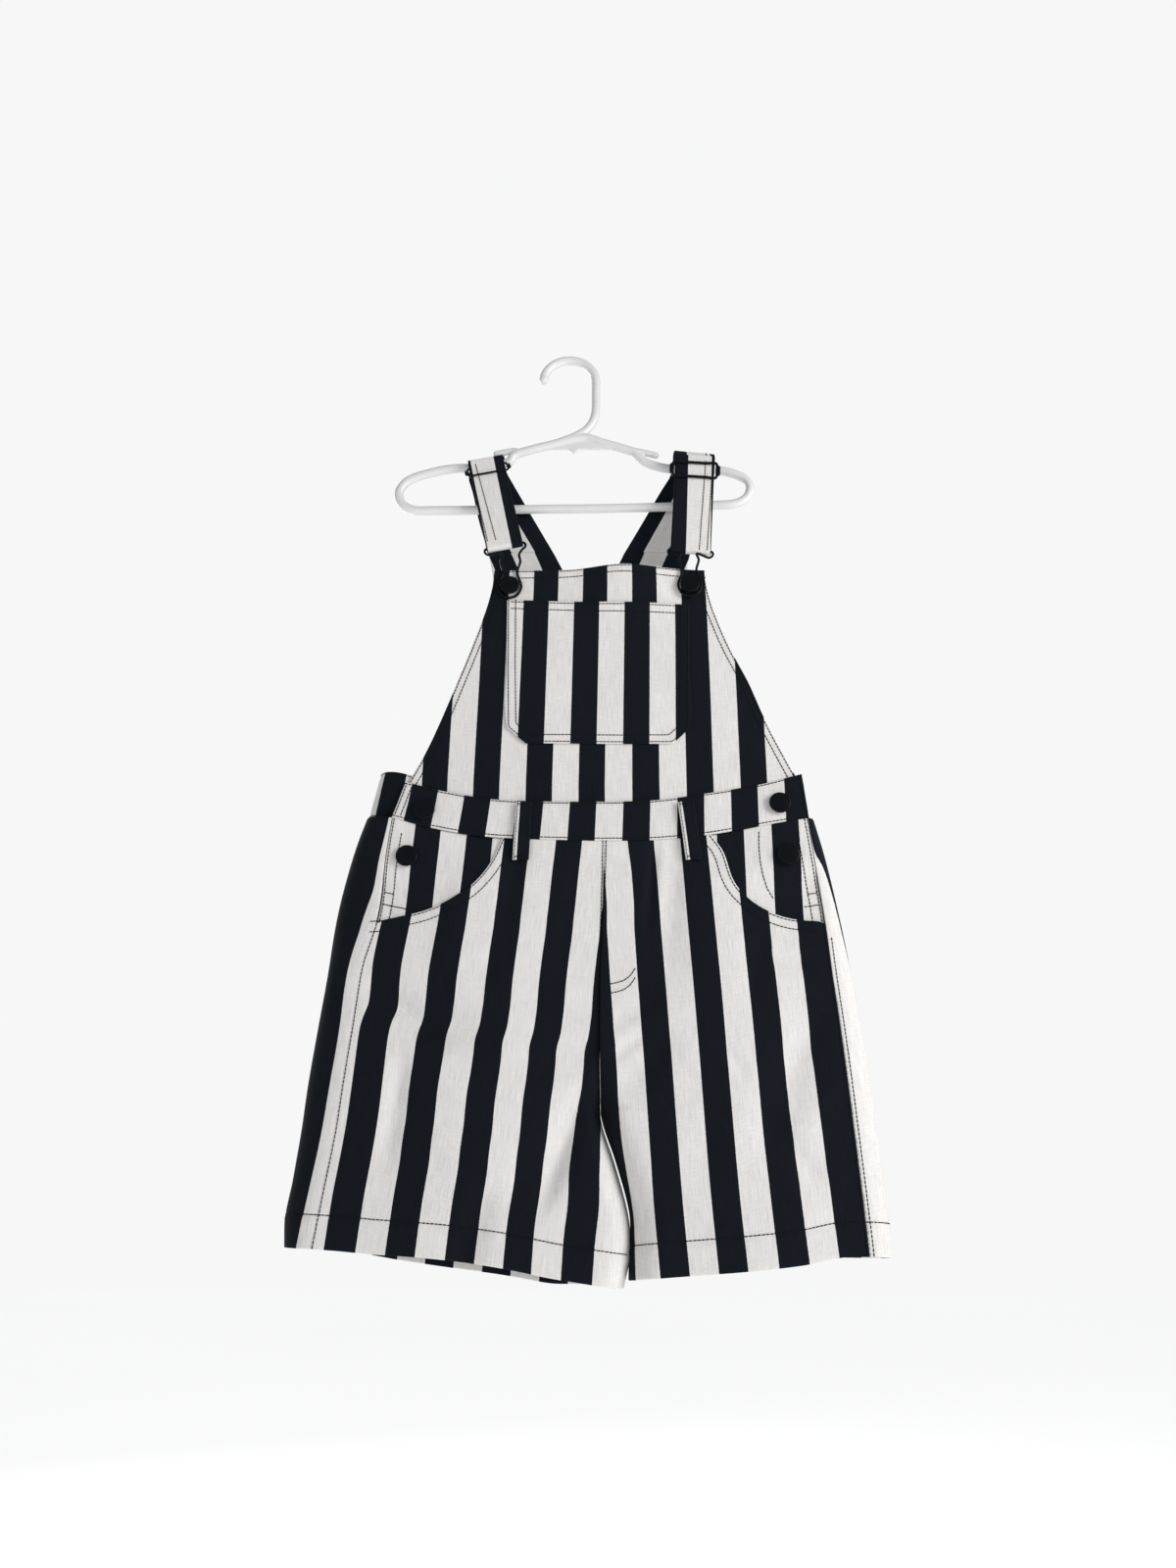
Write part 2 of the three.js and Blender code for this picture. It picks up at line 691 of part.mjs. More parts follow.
function strapBody(strap) {
  const frame = strapFrame(strap);
  const stations = [];
  const acrossAt = (degrees) => {
    const angle = THREE.MathUtils.degToRad(degrees);
    return new THREE.Vector3(Math.cos(angle), 0, Math.sin(angle));
  };
  const station = (centre, across, width) => stations.push({ centre, across, width });
  for (const share of [0, 0.25, 0.5, 0.75, 1]) {
    const at = (name) => strap.back[name](share);
    station(new THREE.Vector3(at('x'), at('y'), at('z')), acrossAt(at('tilt')), at('width'));
  }
  const { loop } = strap;
  for (let k = 0; k <= TURN_STEPS; k += 1) {
    const angle = Math.PI * (k / TURN_STEPS);
    const y = loop.y + loop.radius * Math.cos(angle);
    const z = loop.z + loop.radius * Math.sin(angle);
    station(new THREE.Vector3(loop.x, y, z), acrossAt(loop.tilt), loop.width);
  }
  const alongFront = (p, y) => frame.start.clone().addScaledVector(frame.down, p).setY(y);
  for (const share of [0.12, 0.3, 0.5, 0.7, 0.86]) {
    const p = share * frame.bar;
    station(alongFront(p, innerLayer(strap, frame, p)), frame.across, strap.width);
  }
  for (let k = 0; k <= TURN_STEPS; k += 1) {
    const angle = Math.PI * (k / TURN_STEPS);
    const y = BAR_Y + (STRAP_LAYERS / 2) * Math.cos(angle);
    const p = frame.bar + (STRAP_LAYERS / 2) * Math.sin(angle);
    station(alongFront(p, y), frame.across, strap.width);
  }
  for (const share of [0.86, 0.7, 0.5, 0.3, 0.12]) {
    const p = share * frame.bar;
    station(alongFront(p, innerLayer(strap, frame, p) - STRAP_LAYERS), frame.across, strap.width);
  }
  const end = strap.outerEnd;
  station(alongFront(end, innerLayer(strap, frame, end) - STRAP_LAYERS), frame.across, strap.width);
  const grid = stations.map(({ centre, across, width }) =>
    [-0.5, 0, 0.5].map((t) => centre.clone().addScaledVector(across, t * width)));
  return ribbon(grid, STRAP_THICKNESS);
}

// A strap's wall, with its outside chosen where it leaves the back bib.
function ribbon(grid, thickness) {
  const across = grid[0][2].clone().sub(grid[0][0]);
  const along = grid[1][1].clone().sub(grid[0][1]);
  const outside = across.cross(along).y > 0 ? grid : grid.map((row) => [...row].reverse());
  const middle = outside.length >> 1;
  const acrossMiddle = outside[middle][2].clone().sub(outside[middle][0]);
  const alongMiddle = outside[middle + 1][1].clone().sub(outside[middle - 1][1]);
  return clothWall(outside, thickness, acrossMiddle.cross(alongMiddle));
}

// Belt loops, tacked down over the waistband
const BELT_LOOPS = {
  left: { top: -37, bottom: -39 },
  right: { top: 92.5, bottom: 97.5 },
};

function beltLoop(leg, { top, bottom }) {
  const width = 13;
  const rows = 8;
  const bow = 1.4;
  const grid = [];
  for (let i = 0; i <= rows; i += 1) {
    const t = i / rows;
    const z = lerp(-457.5, -506.5, t);
    const x = lerp(top, bottom, t);
    const edges = [x - width / 2, x + width / 2];
    const under = Math.min(...edges.map((at) => Math.min(bandAt(at, z), frontAt(leg, at, z))));
    const y = under - LAID_GAP - STRAP_THICKNESS - bow * Math.sin(Math.PI * t);
    grid.push([-0.5, 0, 0.5].map((side) => new THREE.Vector3(x + side * width, y, z)));
  }
  return clothWall(grid, STRAP_THICKNESS, FORWARD);
}

// The foremost depth of a panel round a place on it
function foremost(depthAt, x, z, radius) {
  const around = [0, 1, 2, 3, 4, 5, 6, 7].map((k) => (k * Math.PI) / 4);
  return Math.min(...around.map((angle) =>
    depthAt(x + radius * Math.cos(angle), z + radius * Math.sin(angle))));
}

// A tack button whose neck stands on the cloth: a slightly domed disc, axis toward the viewer
function tackButton(x, y, z, neck) {
  const profile = [
    [0, 0],
    [NECK_RADIUS, 0],
    [3.4, neck],
    [7.4, neck],
    [BUTTON_RADIUS, neck + 0.7],
    [BUTTON_RADIUS, neck + 1.6],
    [7.6, neck + 2.3],
    [4, neck + 2.8],
    [0, neck + 3],
  ].map(([radius, height]) => new THREE.Vector2(radius, height));
  const geometry = new THREE.LatheGeometry(profile, 16);
  geometry.rotateX(Math.PI);
  geometry.translate(x, y, z);
  return geometry;
}

const closedTube = (points, steps, radius, sides) =>
  new THREE.TubeGeometry(new THREE.CatmullRomCurve3(points, true), steps, radius, sides, true);

function openTube(points, steps, radius, sides) {
  const section = new THREE.Shape();
  section.absarc(0, 0, radius, 0, 2 * Math.PI);
  const extrudePath = new THREE.CatmullRomCurve3(points);
  return new THREE.ExtrudeGeometry(section, { steps, extrudePath, curveSegments: sides / 2 });
}

// Wire buckle: a bar in the strap's fold, pinched sides, and a ring behind the button's disc
function buckle(strap, ring) {
  const frame = strapFrame(strap);
  const bar = frame.start.clone().addScaledVector(frame.down, frame.bar).setY(BAR_Y);
  const reach = strap.width / 2 + 1.9;
  const corner = (side, lower) => bar.clone()
    .addScaledVector(frame.across, side * reach)
    .addScaledVector(frame.down, lower);
  const half = [
    [7.5, 33, lerp(BAR_Y, ring.y, 0.5)],
    [8.6, 25, ring.y],
    [6.2, 14, ring.y],
    [10, 0, ring.y],
    [6.5, -8.5, ring.y],
  ];
  const beside = (side) => half.map(([x, z, y]) =>
    new THREE.Vector3(ring.x + side * x, y, ring.z + z));
  const points = [
    corner(-0.9, 0),
    corner(-0.6, 0),
    corner(0.6, 0),
    corner(0.9, 0),
    corner(0.97, 0.5),
    corner(1.01, 2.6),
    corner(0.96, 4.8),
    corner(0.84, 6.2),
    ...beside(1),
    new THREE.Vector3(ring.x, ring.y, ring.z - 11),
    ...beside(-1).reverse(),
    corner(-0.84, 6.2),
    corner(-0.96, 4.8),
    corner(-1.01, 2.6),
    corner(-0.97, 0.5),
  ];
  return closedTube(points, 76, WIRE, 6);
}

// Wire slider: a frame round the strap with a bar in front and a twist of wire at each side
function slider(strap, upper, lower, upperInFront) {
  const frame = strapFrame(strap);
  const halfWidth = strap.width / 2 + 1.8;
  const radius = 1.3;
  const at = (side, p, y) => frame.start.clone()
    .addScaledVector(frame.down, p)
    .addScaledVector(frame.across, side * halfWidth)
    .setY(y);
  const before = (p) =>
    innerLayer(strap, frame, p) - STRAP_LAYERS - STRAP_THICKNESS - SEAM_GAP - radius;
  const between = (p) => innerLayer(strap, frame, p) - STRAP_LAYERS / 2;
  const lowerY = before(lower);
  const upperY = upperInFront ? before(upper) : between(upper);
  const points = [];
  for (const side of [-0.97, -0.5, 0.5, 0.97]) points.push(at(side, lower, lowerY));
  points.push(at(1.02, (upper + lower) / 2, (lowerY + upperY) / 2));
  for (const side of [0.97, 0.5, -0.5, -0.97]) points.push(at(side, upper, upperY));
  points.push(at(-1.02, (upper + lower) / 2, (lowerY + upperY) / 2));
  const wire = closedTube(points, 44, upperInFront ? radius : 0.95, 6);
  const knuckle = (side) => {
    const ends = [at(side, upper + 2, upperY), at(side, lower - 2, lowerY)];
    ends.forEach((end) => end.addScaledVector(frame.across, side * 1.6));
    return openTube(ends, 1, 1.9, 8);
  };
  return joined(wire, knuckle(1), knuckle(-1));
}

// Hanger: arms, ends and lower bar as one closed tube, then the hook, prongs and web
const ARM_LOOP = [
  [12, -85.5], [-23, -94], [-41, -99.5], [-50.5, -102.8], [-56, -106.6], [-57.8, -111],
  [-63.2, -114.2], [-78.5, -116.6], [-94, -119.2], [-106, -119.4], [-118, -121], [-133, -125],
  [-145, -129.4], [-154, -135.5], [-159.5, -147], [-156, -158], [-146, -164.5], [-125, -165.3],
  [-50, -164.2], [32, -163], [100, -161], [129, -159.6], [150, -157.4], [160, -150.5],
  [163, -141], [160, -132.4], [152, -126.8], [135, -121.5], [112, -119.6], [94, -120.4],
  [80, -118], [67, -112.4], [60.8, -106.6], [56, -101.4], [44, -96.4], [28, -91],
];
const HOOK_STEM = [[21.6, -38], [21.4, -55], [18.6, -67], [12.5, -76.5], [2, -84], [-12, -90.5]];
const PRONGS = [
  [[56, -99.6], [68, -102.4], [80, -106]],
  [[-52, -99.6], [-62, -101.4], [-74, -104.4]],
];
const WEB = [
  [12, -85], [62, -101.5], [38, -98.5], [6, -98.5], [1, -103.5], [-4, -98.5], [-38, -98.5],
  [-55, -102.5],
];

const inPlane = ([x, z]) => new THREE.Vector3(x, 0, z);

function hanger() {
  const loop = closedTube(ARM_LOOP.map(inPlane), 104, TUBE, 8);
  const arc = [];
  for (let degrees = 183; degrees >= 0; degrees -= 20) {
    const angle = THREE.MathUtils.degToRad(degrees);
    arc.push([HOOK.x + HOOK.radius * Math.cos(angle), HOOK.z + HOOK.radius * Math.sin(angle)]);
  }
  const hook = openTube([...arc, ...HOOK_STEM].map(inPlane), 36, TUBE, 8);
  const tips = [arc[0], PRONGS[0][2], PRONGS[1][2]].map(([x, z], k) => {
    const tip = new THREE.SphereGeometry(k === 0 ? TUBE * 0.98 : 3, 8, 6);
    return tip.translate(x, 0, z);
  });
  const prongs = PRONGS.map((prong) => openTube(prong.map(inPlane), 4, 3, 8));
  const webOutline = new THREE.Shape(WEB.map(([x, z]) => new THREE.Vector2(x, z)));
  const web = new THREE.ExtrudeGeometry(webOutline, { depth: 2.2, bevelEnabled: false });
  web.rotateX(Math.PI / 2);
  web.translate(0, 1.1, 0);
  return joined(loop, hook, ...prongs, ...tips, web);
}

// Materials
const COTTON = { color: 0xe4e0da, roughness: 0.9, metalness: 0 };
const BLACK_METAL = { color: 0x15171a, roughness: 0.4, metalness: 0.3 };
const WHITE_PLASTIC = { color: 0xf0efec, roughness: 0.35, metalness: 0 };

const overalls = new THREE.Group();

function add(name, geometry, look) {
  const mesh = new THREE.Mesh(geometry, new THREE.MeshStandardMaterial(look));
  mesh.name = name;
  overalls.add(mesh);
}

const BIB_BUTTONS = { left: { x: -54, z: -255.4 }, right: { x: 102.4, z: -255.4 } };
const SIDE_BUTTONS = {
  left: { upper: { x: -117, z: -464 }, lower: { x: -129, z: -503 } },
  right: { upper: { x: 168, z: -458.6 }, lower: { x: 172, z: -502 } },
};
const SLIDERS = { left: { upper: 7, lower: 18.4, front: false }, right: { upper: 10.5, lower: 25.5, front: true } };

for (const side of ['left', 'right']) {
  const leg = LEGS[side];
  add(`leg_front_${side}`, legFront(leg), COTTON);
  add(`leg_back_${side}`, legBack(leg), COTTON);
  add(`pocket_facing_${side}`, pocketFacing(leg), COTTON);
  add(`belt_loop_${side}`, beltLoop(leg, BELT_LOOPS[side]), COTTON);

  const strap = STRAPS[side];
  add(`strap_${side}`, strapBody(strap), COTTON);
  const { x, z } = BIB_BUTTONS[side];
  const onBib = foremost(bibDepth, x, z, NECK_RADIUS) - SEAM_GAP;
  const ringY = foremost(bibDepth, x, z + 6, 16) - LAID_GAP - WIRE;
  const neck = onBib - ringY + WIRE + LAID_GAP;
  add(`bib_button_${side}`, tackButton(x, onBib, z, neck), BLACK_METAL);
  add(`buckle_${side}`, buckle(strap, { x, y: ringY, z }), BLACK_METAL);
  const { upper, lower, front } = SLIDERS[side];
  add(`slider_${side}`, slider(strap, upper, lower, front), BLACK_METAL);

  const buttons = SIDE_BUTTONS[side];
  const onLeg = (atX, atZ) => frontAt(leg, atX, atZ);
  for (const [place, depthAt] of [['upper', bandAt], ['lower', onLeg]]) {
    const at = buttons[place];
    const base = foremost(depthAt, at.x, at.z, NECK_RADIUS) - SEAM_GAP;
    const button = tackButton(at.x, base, at.z, SIDE_BUTTON_NECK);
    add(`side_button_${place}_${side}`, button, BLACK_METAL);
  }
}

add('bib_front', bibFront(), COTTON);
add('bib_pocket', bibPocket(), COTTON);
add('back_bib', backBib(), COTTON);
add('waistband_front', waistbandFront(), COTTON);
add('waistband_back', waistbandBack(), COTTON);
add('hanger', hanger(), WHITE_PLASTIC);

export default overalls;
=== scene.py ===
"""Looks of the kids bib overalls on a plastic hanger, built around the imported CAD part.

The forms are worked out in millimetres, in the part's own frame: +X is the viewer's right,
+Y points away from the viewer, +Z is up, and the origin is the inside top of the hook.
"""

import json
import math
import random

import bpy
import numpy as np
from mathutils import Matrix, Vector, noise

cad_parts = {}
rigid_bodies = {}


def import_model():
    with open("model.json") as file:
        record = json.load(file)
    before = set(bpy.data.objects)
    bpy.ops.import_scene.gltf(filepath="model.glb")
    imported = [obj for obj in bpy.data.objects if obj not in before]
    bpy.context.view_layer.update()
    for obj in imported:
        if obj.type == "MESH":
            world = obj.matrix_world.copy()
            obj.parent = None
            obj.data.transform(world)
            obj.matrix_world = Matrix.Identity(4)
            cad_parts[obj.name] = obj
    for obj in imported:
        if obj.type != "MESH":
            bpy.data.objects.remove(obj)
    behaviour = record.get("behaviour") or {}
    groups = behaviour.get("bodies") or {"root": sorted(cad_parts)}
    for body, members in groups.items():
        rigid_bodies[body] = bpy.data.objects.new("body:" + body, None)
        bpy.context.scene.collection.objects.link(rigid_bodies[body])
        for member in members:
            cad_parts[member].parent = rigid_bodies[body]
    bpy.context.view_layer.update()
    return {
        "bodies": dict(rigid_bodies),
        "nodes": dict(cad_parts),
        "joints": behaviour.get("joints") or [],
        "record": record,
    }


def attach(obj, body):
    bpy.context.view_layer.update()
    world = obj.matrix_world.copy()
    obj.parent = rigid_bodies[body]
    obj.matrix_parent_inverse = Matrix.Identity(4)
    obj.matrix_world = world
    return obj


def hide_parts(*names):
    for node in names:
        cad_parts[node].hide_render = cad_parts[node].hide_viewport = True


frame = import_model()

MM = 0.001
RNG = random.Random(11)

# Camera and light
scene = bpy.context.scene
camera_data = bpy.data.cameras.new("camera")
camera_data.lens = 27
camera_data.sensor_width = 36
camera_data.clip_start = 0.01
camera = bpy.data.objects.new("camera", camera_data)
camera.location = (0.0141, -0.912, -0.7825)
camera.rotation_euler = (math.radians(111), 0, 0)
scene.collection.objects.link(camera)
scene.camera = camera
scene.view_settings.view_transform = "Standard"


def area_light(name, place, target, size, power, colour):
    data = bpy.data.lights.new(name, "AREA")
    data.shape = "RECTANGLE"
    data.size, data.size_y = size
    data.energy = power
    data.color = colour
    light = bpy.data.objects.new(name, data)
    light.location = place
    light.rotation_euler = (Vector(target) - Vector(place)).to_track_quat("-Z", "Y").to_euler()
    scene.collection.objects.link(light)


area_light("key", (1.45, -0.95, -0.15), (0.02, 0, -0.5), (0.7, 1.0), 23, (1, 0.99, 0.975))
area_light("fill", (-1.7, -1.5, 0.2), (0.02, 0, -0.45), (1.6, 1.6), 2.5, (0.95, 0.97, 1))
area_light("rear", (-1.2, 1.8, 0.6), (0.02, 0, -0.4), (1.4, 1.4), 26, (1, 1, 1))


def set_world():
    world = bpy.data.worlds.new("room")
    world.use_nodes = True
    nodes, links = world.node_tree.nodes, world.node_tree.links
    nodes.clear()
    seen = nodes.new("ShaderNodeBackground")
    seen.inputs["Color"].default_value = (0.93, 0.93, 0.935, 1)
    lit = nodes.new("ShaderNodeBackground")
    lit.inputs["Color"].default_value = (0.93, 0.94, 0.96, 1)
    lit.inputs["Strength"].default_value = 0.36
    path = nodes.new("ShaderNodeLightPath")
    mix = nodes.new("ShaderNodeMixShader")
    out = nodes.new("ShaderNodeOutputWorld")
    links.new(path.outputs["Is Camera Ray"], mix.inputs["Fac"])
    links.new(lit.outputs[0], mix.inputs[1])
    links.new(seen.outputs[0], mix.inputs[2])
    links.new(mix.outputs[0], out.inputs["Surface"])
    scene.world = world


set_world()


# Numbers and tables
def lerp(a, b, t):
    return a + (b - a) * t


def clamp01(t):
    return min(1.0, max(0.0, t))


def smoothstep(start, end, value):
    t = clamp01((value - start) / (end - start))
    return t * t * (3 - 2 * t)


class Table:
    """Rows of numbers, each column read smoothly along the first one."""

    def __init__(self, columns, rows):
        self.keys = [row[0] for row in rows]
        self.columns = {name: [row[k] for row in rows] for k, name in enumerate(columns)}

    def __call__(self, name, at):
        keys, values = self.keys, self.columns[name]
        last = len(keys) - 1
        if at <= keys[0]:
            return values[0]
        if at >= keys[last]:
            return values[last]
        i = 0
        while at > keys[i + 1]:
            i += 1

        def slope(k):
            before, after = max(0, k - 1), min(last, k + 1)
            return (values[after] - values[before]) / (keys[after] - keys[before])

        span = keys[i + 1] - keys[i]
        t = (at - keys[i]) / span
        bend = (t * (1 - t) ** 2 * slope(i) - t * t * (1 - t) * slope(i + 1)) * span
        return lerp(values[i], values[i + 1], t * t * (3 - 2 * t)) + bend


# Sizes shared with the part's source, in millimetres
TWILL = 1.6
LAPPED = 2.4
STRAP_THICKNESS = 1.8
SEAM_GAP = 0.3
CENTRE = 25
FRONT_CROWN = 3
BACK_CROWN = 2
CROWN_STARTS = 0.15
RISE_TURNS = 0.48
CROTCH = 0.646
BACK_RISE = 4
BAND_FRONT_TOP = 22.6
BAND_FRONT_BOTTOM = 24.8
BACK_BAND_FRONT = 18.8
BACK_BAND_REAR = 22.6
BIB_TOP = -238
BIB_RISE = {"x": 38, "width": 27, "height": 2.6}
BIB_LENGTH = 200
BIB_FRONT_TOP = 16
BIB_FRONT_BOTTOM = 20.6
BIB_WAVE = {"x": 53, "width": 38, "depth": 8, "fades": 0.3}
LAID_GAP = 0.5
POCKET_LIFT = LAID_GAP + TWILL
STRAP_SEAM = -204.4
BACK_BIB_TOP_Y = 9.2
BACK_BIB_BOTTOM_Y = 22
NECK = {"left": -17, "right": 47, "top": -205, "x": 16, "bottom": -272}
NECK_RADIUS = 4
SIDE_BUTTON_NECK = 1.2
WIRE = 1.1
STRAP_LAYERS = 3.2
BAR_TO_FOLD = STRAP_LAYERS / 2 + STRAP_THICKNESS
BAR_Y = -16
TUBE = 4.1
HOOK = {"x": -3.5, "z": -20.7, "radius": 25.1}
STRIPE = 21.3

WAIST_SEAM = Table(("x", "z"), [
    (-170, -466), (-143, -470), (-109, -479), (-66, -486), (-3, -489),
    (63, -489), (106, -485), (152, -477), (198, -469),
])

LEGS = {
    "left": {
        "side": -1,
        "outline": Table(("down", "outer", "seam", "inner", "front", "back", "turn"), [
            (0.0, -167, -143, 25, 24, 22, 10),
            (0.1, -176, -146, 25, 24, 22, 10),
            (0.25, -185, -149, 25, 25, 23, 12),
            (0.4, -189, -160, 25, 26, 24, 14),
            (0.52, -193, -163, 25, 26, 24, 16),
            (0.646, -197, -167, 25, 26, 24, 18),
            (0.75, -199.2, -170, 34.9, 25, 23, 18),
            (0.86, -202.6, -175, 43.9, 24, 22, 18),
            (0.93, -205.4, -178, 44.1, 24, 22, 18),
            (1.0, -204, -181, 39, 24, 22, 18),
        ]),
        "mouth": Table(("down", "x"), [
            (0.0, -54), (0.07, -63), (0.13, -76), (0.18, -94), (0.22, -115), (0.25, -136),
            (0.27, -151),
        ]),
        "hem": Table(("x", "z", "drop"), [
            (-206, -790.5, 0), (-186, -791.4, 0), (-165, -792.6, 0), (-142, -794.6, 2),
            (-120, -796, 4.2), (-90, -798.3, 6), (-50, -803.4, 6), (-14, -810.2, 5),
            (5, -813.2, 2.5), (20, -815.4, 0.6), (43, -818.4, 0),
        ]),
    },
    "right": {
        "side": 1,
        "outline": Table(("down", "outer", "seam", "inner", "front", "back", "turn"), [
            (0.0, 198, 189.5, 25, 24, 22, 10),
            (0.1, 205.5, 192.5, 25, 25, 24, 10),
            (0.25, 213.5, 197, 25, 26, 27, 12),
            (0.4, 219.8, 199.8, 25, 28, 30, 14),
            (0.52, 224, 202.5, 25, 29, 33, 18),
            (0.646, 227, 205, 25, 29, 34, 20),
            (0.75, 229, 206.8, 35, 29, 35, 22),
            (0.86, 231, 208.6, 44, 29, 35, 24),
            (0.93, 232, 209.6, 44.2, 29, 35, 24),
            (1.0, 231, 210.5, 43.4, 29, 35, 24),
        ]),
        "mouth": Table(("down", "x"), [
            (0.0, 112), (0.05, 121), (0.13, 128), (0.18, 139), (0.22, 155), (0.25, 176),
            (0.27, 204),
        ]),
        "hem": Table(("x", "z", "drop"), [
            (43, -812, 1.5), (85, -809, 1.5), (126, -806, 1.5), (164, -802, 1.5),
            (192, -797, 1.5), (231, -797, 1.5),
        ]),
    },
}

# The folds that the part's solids have, and the finer creases that only show here. Each is a
# soft trough along a line, or a ridge where its depth is negative. The columns are its face,
# which is -1 on the front and 1 on the back, its start, its end, its width and its depth.
FOLDS = [
    (-1, (82, -500), (72, -590), 13, 3.5),
    (-1, (-182, -600), (-70, -640), 15, 4),
    (-1, (18, -690), (-40, -760), 14, 3.5),
    (-1, (176, -640), (140, -735), 14, 3),
    (-1, (34, -690), (80, -640), 12, 2.5),
    (1, (-120, -610), (-20, -690), 18, 4),
    (1, (160, -600), (70, -690), 18, 4),
    (1, (-90, -520), (-110, -620), 15, 3),
]
CREASES = [
    (-1, (66, -494), (60, -562), 4.5, 3.2),
    (-1, (-140, -612), (-92, -650), 8, 3.6),
    (-1, (-124, -660), (-131, -732), 7, 3.6),
    (-1, (12, -686), (-20, -764), 7, 5.2),
    (-1, (-58, -748), (-76, -815), 10, 3.2),
    (-1, (138, -580), (182, -592), 6, 2.0),
    (-1, (29, -664), (60, -640), 5, 2.0),
    (-1, (110, -648), (132, -674), 5, 1.2),
    (-1, (156, -722), (180, -744), 7, 2.0),
    (-1, (-40, -500), (-52, -560), 7, 1.9),
    (-1, (-86, -520), (-96, -590), 9, -1.8),
    (1, (60, -500), (52, -566), 6, 1.9),
    (1, (-130, -640), (-80, -676), 9, 1.7),
    (1, (120, -640), (176, -690), 9, 1.8),
    (1, (10, -700), (-30, -764), 8, 2.0),
    (1, (70, -700), (98, -770), 9, 1.9),
    (1, (-110, -730), (-128, -800), 9, 1.7),
    (1, (-20, -510), (-30, -580), 8, 1.3),
    (1, (150, -506), (160, -560), 7, 1.4),
    (-1, (92, -496), (90, -548), 5, -0.7),
    (-1, (30, -640), (70, -612), 6, 0.9),
    (-1, (22, -655), (-16, -632), 6, 0.9),
    (-1, (20, -672), (-30, -668), 5, 0.8),
    (-1, (-150, -628), (-96, -634), 6, -0.9),
    (-1, (-100, -668), (-60, -706), 9, -1.1),
    (-1, (-124, -690), (-92, -742), 8, 0.9),
    (-1, (-46, -560), (-70, -610), 8, 0.8),
    (-1, (34, -700), (66, -742), 8, 1.0),
    (-1, (150, -560), (136, -620), 8, 0.8),
    (-1, (192, -628), (168, -664), 7, 1.0),
    (-1, (198, -672), (172, -716), 7, -0.9),
    (-1, (110, -690), (92, -748), 10, 1.0),
    (-1, (4, -520), (-6, -580), 7, 0.7),
    (1, (30, -650), (80, -626), 7, 1.0),
    (1, (20, -655), (-40, -634), 7, 1.1),
    (1, (-160, -560), (-110, -590), 9, 1.0),
    (1, (190, -570), (130, -604), 9, 1.0),
    (1, (-60, -520), (-66, -560), 6, 0.8),
    (1, (100, -515), (112, -570), 7, 0.9),
    (1, (-150, -700), (-100, -750), 10, 1.1),
    (1, (150, -700), (190, -752), 10, 1.1),
    (1, (60, -720), (90, -770), 9, 0.9),
]


def trough(folds, face, x, z):
    total = 0.0
    for side, (x0, z0), (x1, z1), width, depth in folds:
        if side != face:
            continue
        length2 = (x1 - x0) ** 2 + (z1 - z0) ** 2
        across = ((x - x0) * (z1 - z0) - (z - z0) * (x1 - x0)) / math.sqrt(length2)
        if abs(across) > 3.2 * width:
            continue
        along = ((x - x0) * (x1 - x0) + (z - z0) * (z1 - z0)) / length2
        fade = math.exp(-(((along - 0.5) * 2) ** 4))
        total += depth * fade * math.exp(-((across / width) ** 2))
    return total


def ripple(x, z, scale, seed):
    """Smooth unevenness from -1 to 1, with features about scale millimetres wide."""
    return noise.noise(Vector((x / scale, z / scale, seed)))


def fold_depth(face, x, z):
    soft = 0.8 * ripple(x, z, 46, 3.1 + face) + 0.3 * ripple(x, z, 17, 7.7 + face)
    return trough(FOLDS, face, x, z) + trough(CREASES, face, x, z) + soft


# Leg surfaces
def leg_level(leg, down):
    def read(name):
        return leg["outline"](name, down)

    def outward(x):
        return leg["side"] * (x - CENTRE)

    t = clamp01((down - RISE_TURNS) / (CROTCH - RISE_TURNS))
    opened = math.sqrt(1 - t * t)
    turn = read("turn")
    return {
        "front": read("front"),
        "back": read("back"),
        "turn": turn,
        "outer": outward(read("outer")),
        "seam": outward(read("seam")),
        "turn_centre": outward(CENTRE if down < CROTCH else read("inner"))
        + turn * math.sqrt(1 - opened * opened),
        "start_angle": math.asin(opened),
        "crown": smoothstep(0, CROWN_STARTS, down),
    }


QUARTER_STEPS = 48
FLAT_STEPS = 40
MOUTH_END = 0.27  # how far down a leg the pocket mouth meets the side seam


def inner_turn(level, depth):
    path = []
    for k in range(QUARTER_STEPS + 1):
        angle = lerp(level["start_angle"], math.pi / 2, k / QUARTER_STEPS)
        path.append((level["turn_centre"] - level["turn"] * math.cos(angle), depth * math.sin(angle)))
    return path


def flat_run(level, start, end, whole, depth, crown):
    path = []
    for k in range(1, FLAT_STEPS + 1):
        a = lerp(start, end, k / FLAT_STEPS)
        arch = math.sin(math.pi * (a - start) / (whole - start)) ** 2
        path.append((a, depth + math.copysign(crown * level["crown"] * arch, depth)))
    return path


def front_path(leg, down):
    level = leg_level(leg, down)
    mouth = leg["side"] * (leg["mouth"]("x", down) - CENTRE)
    limit = min(level["seam"], mouth) if down < MOUTH_END else level["seam"]
    run = flat_run(level, level["turn_centre"], limit, level["seam"], -level["front"], FRONT_CROWN)
    return inner_turn(level, -level["front"]) + run


def back_path(leg, down):
    level = leg_level(leg, down)
    sweep = 34
    path = []
    for k in range(QUARTER_STEPS + 1):
        angle = math.pi / 2 * k / QUARTER_STEPS
        path.append((lerp(level["seam"], level["outer"], math.sin(angle)), -level["front"] * math.cos(angle)))
    for k in range(1, QUARTER_STEPS + 1):
        angle = math.pi / 2 * k / QUARTER_STEPS
        path.append((level["outer"] - sweep * (1 - math.cos(angle)), level["back"] * math.sin(angle)))
    start, end = level["turn_centre"], level["outer"] - sweep
    rear = flat_run(level, start, end, end, level["back"], BACK_CROWN)[:-1]
    return path + rear[::-1] + inner_turn(level, level["back"])[::-1]


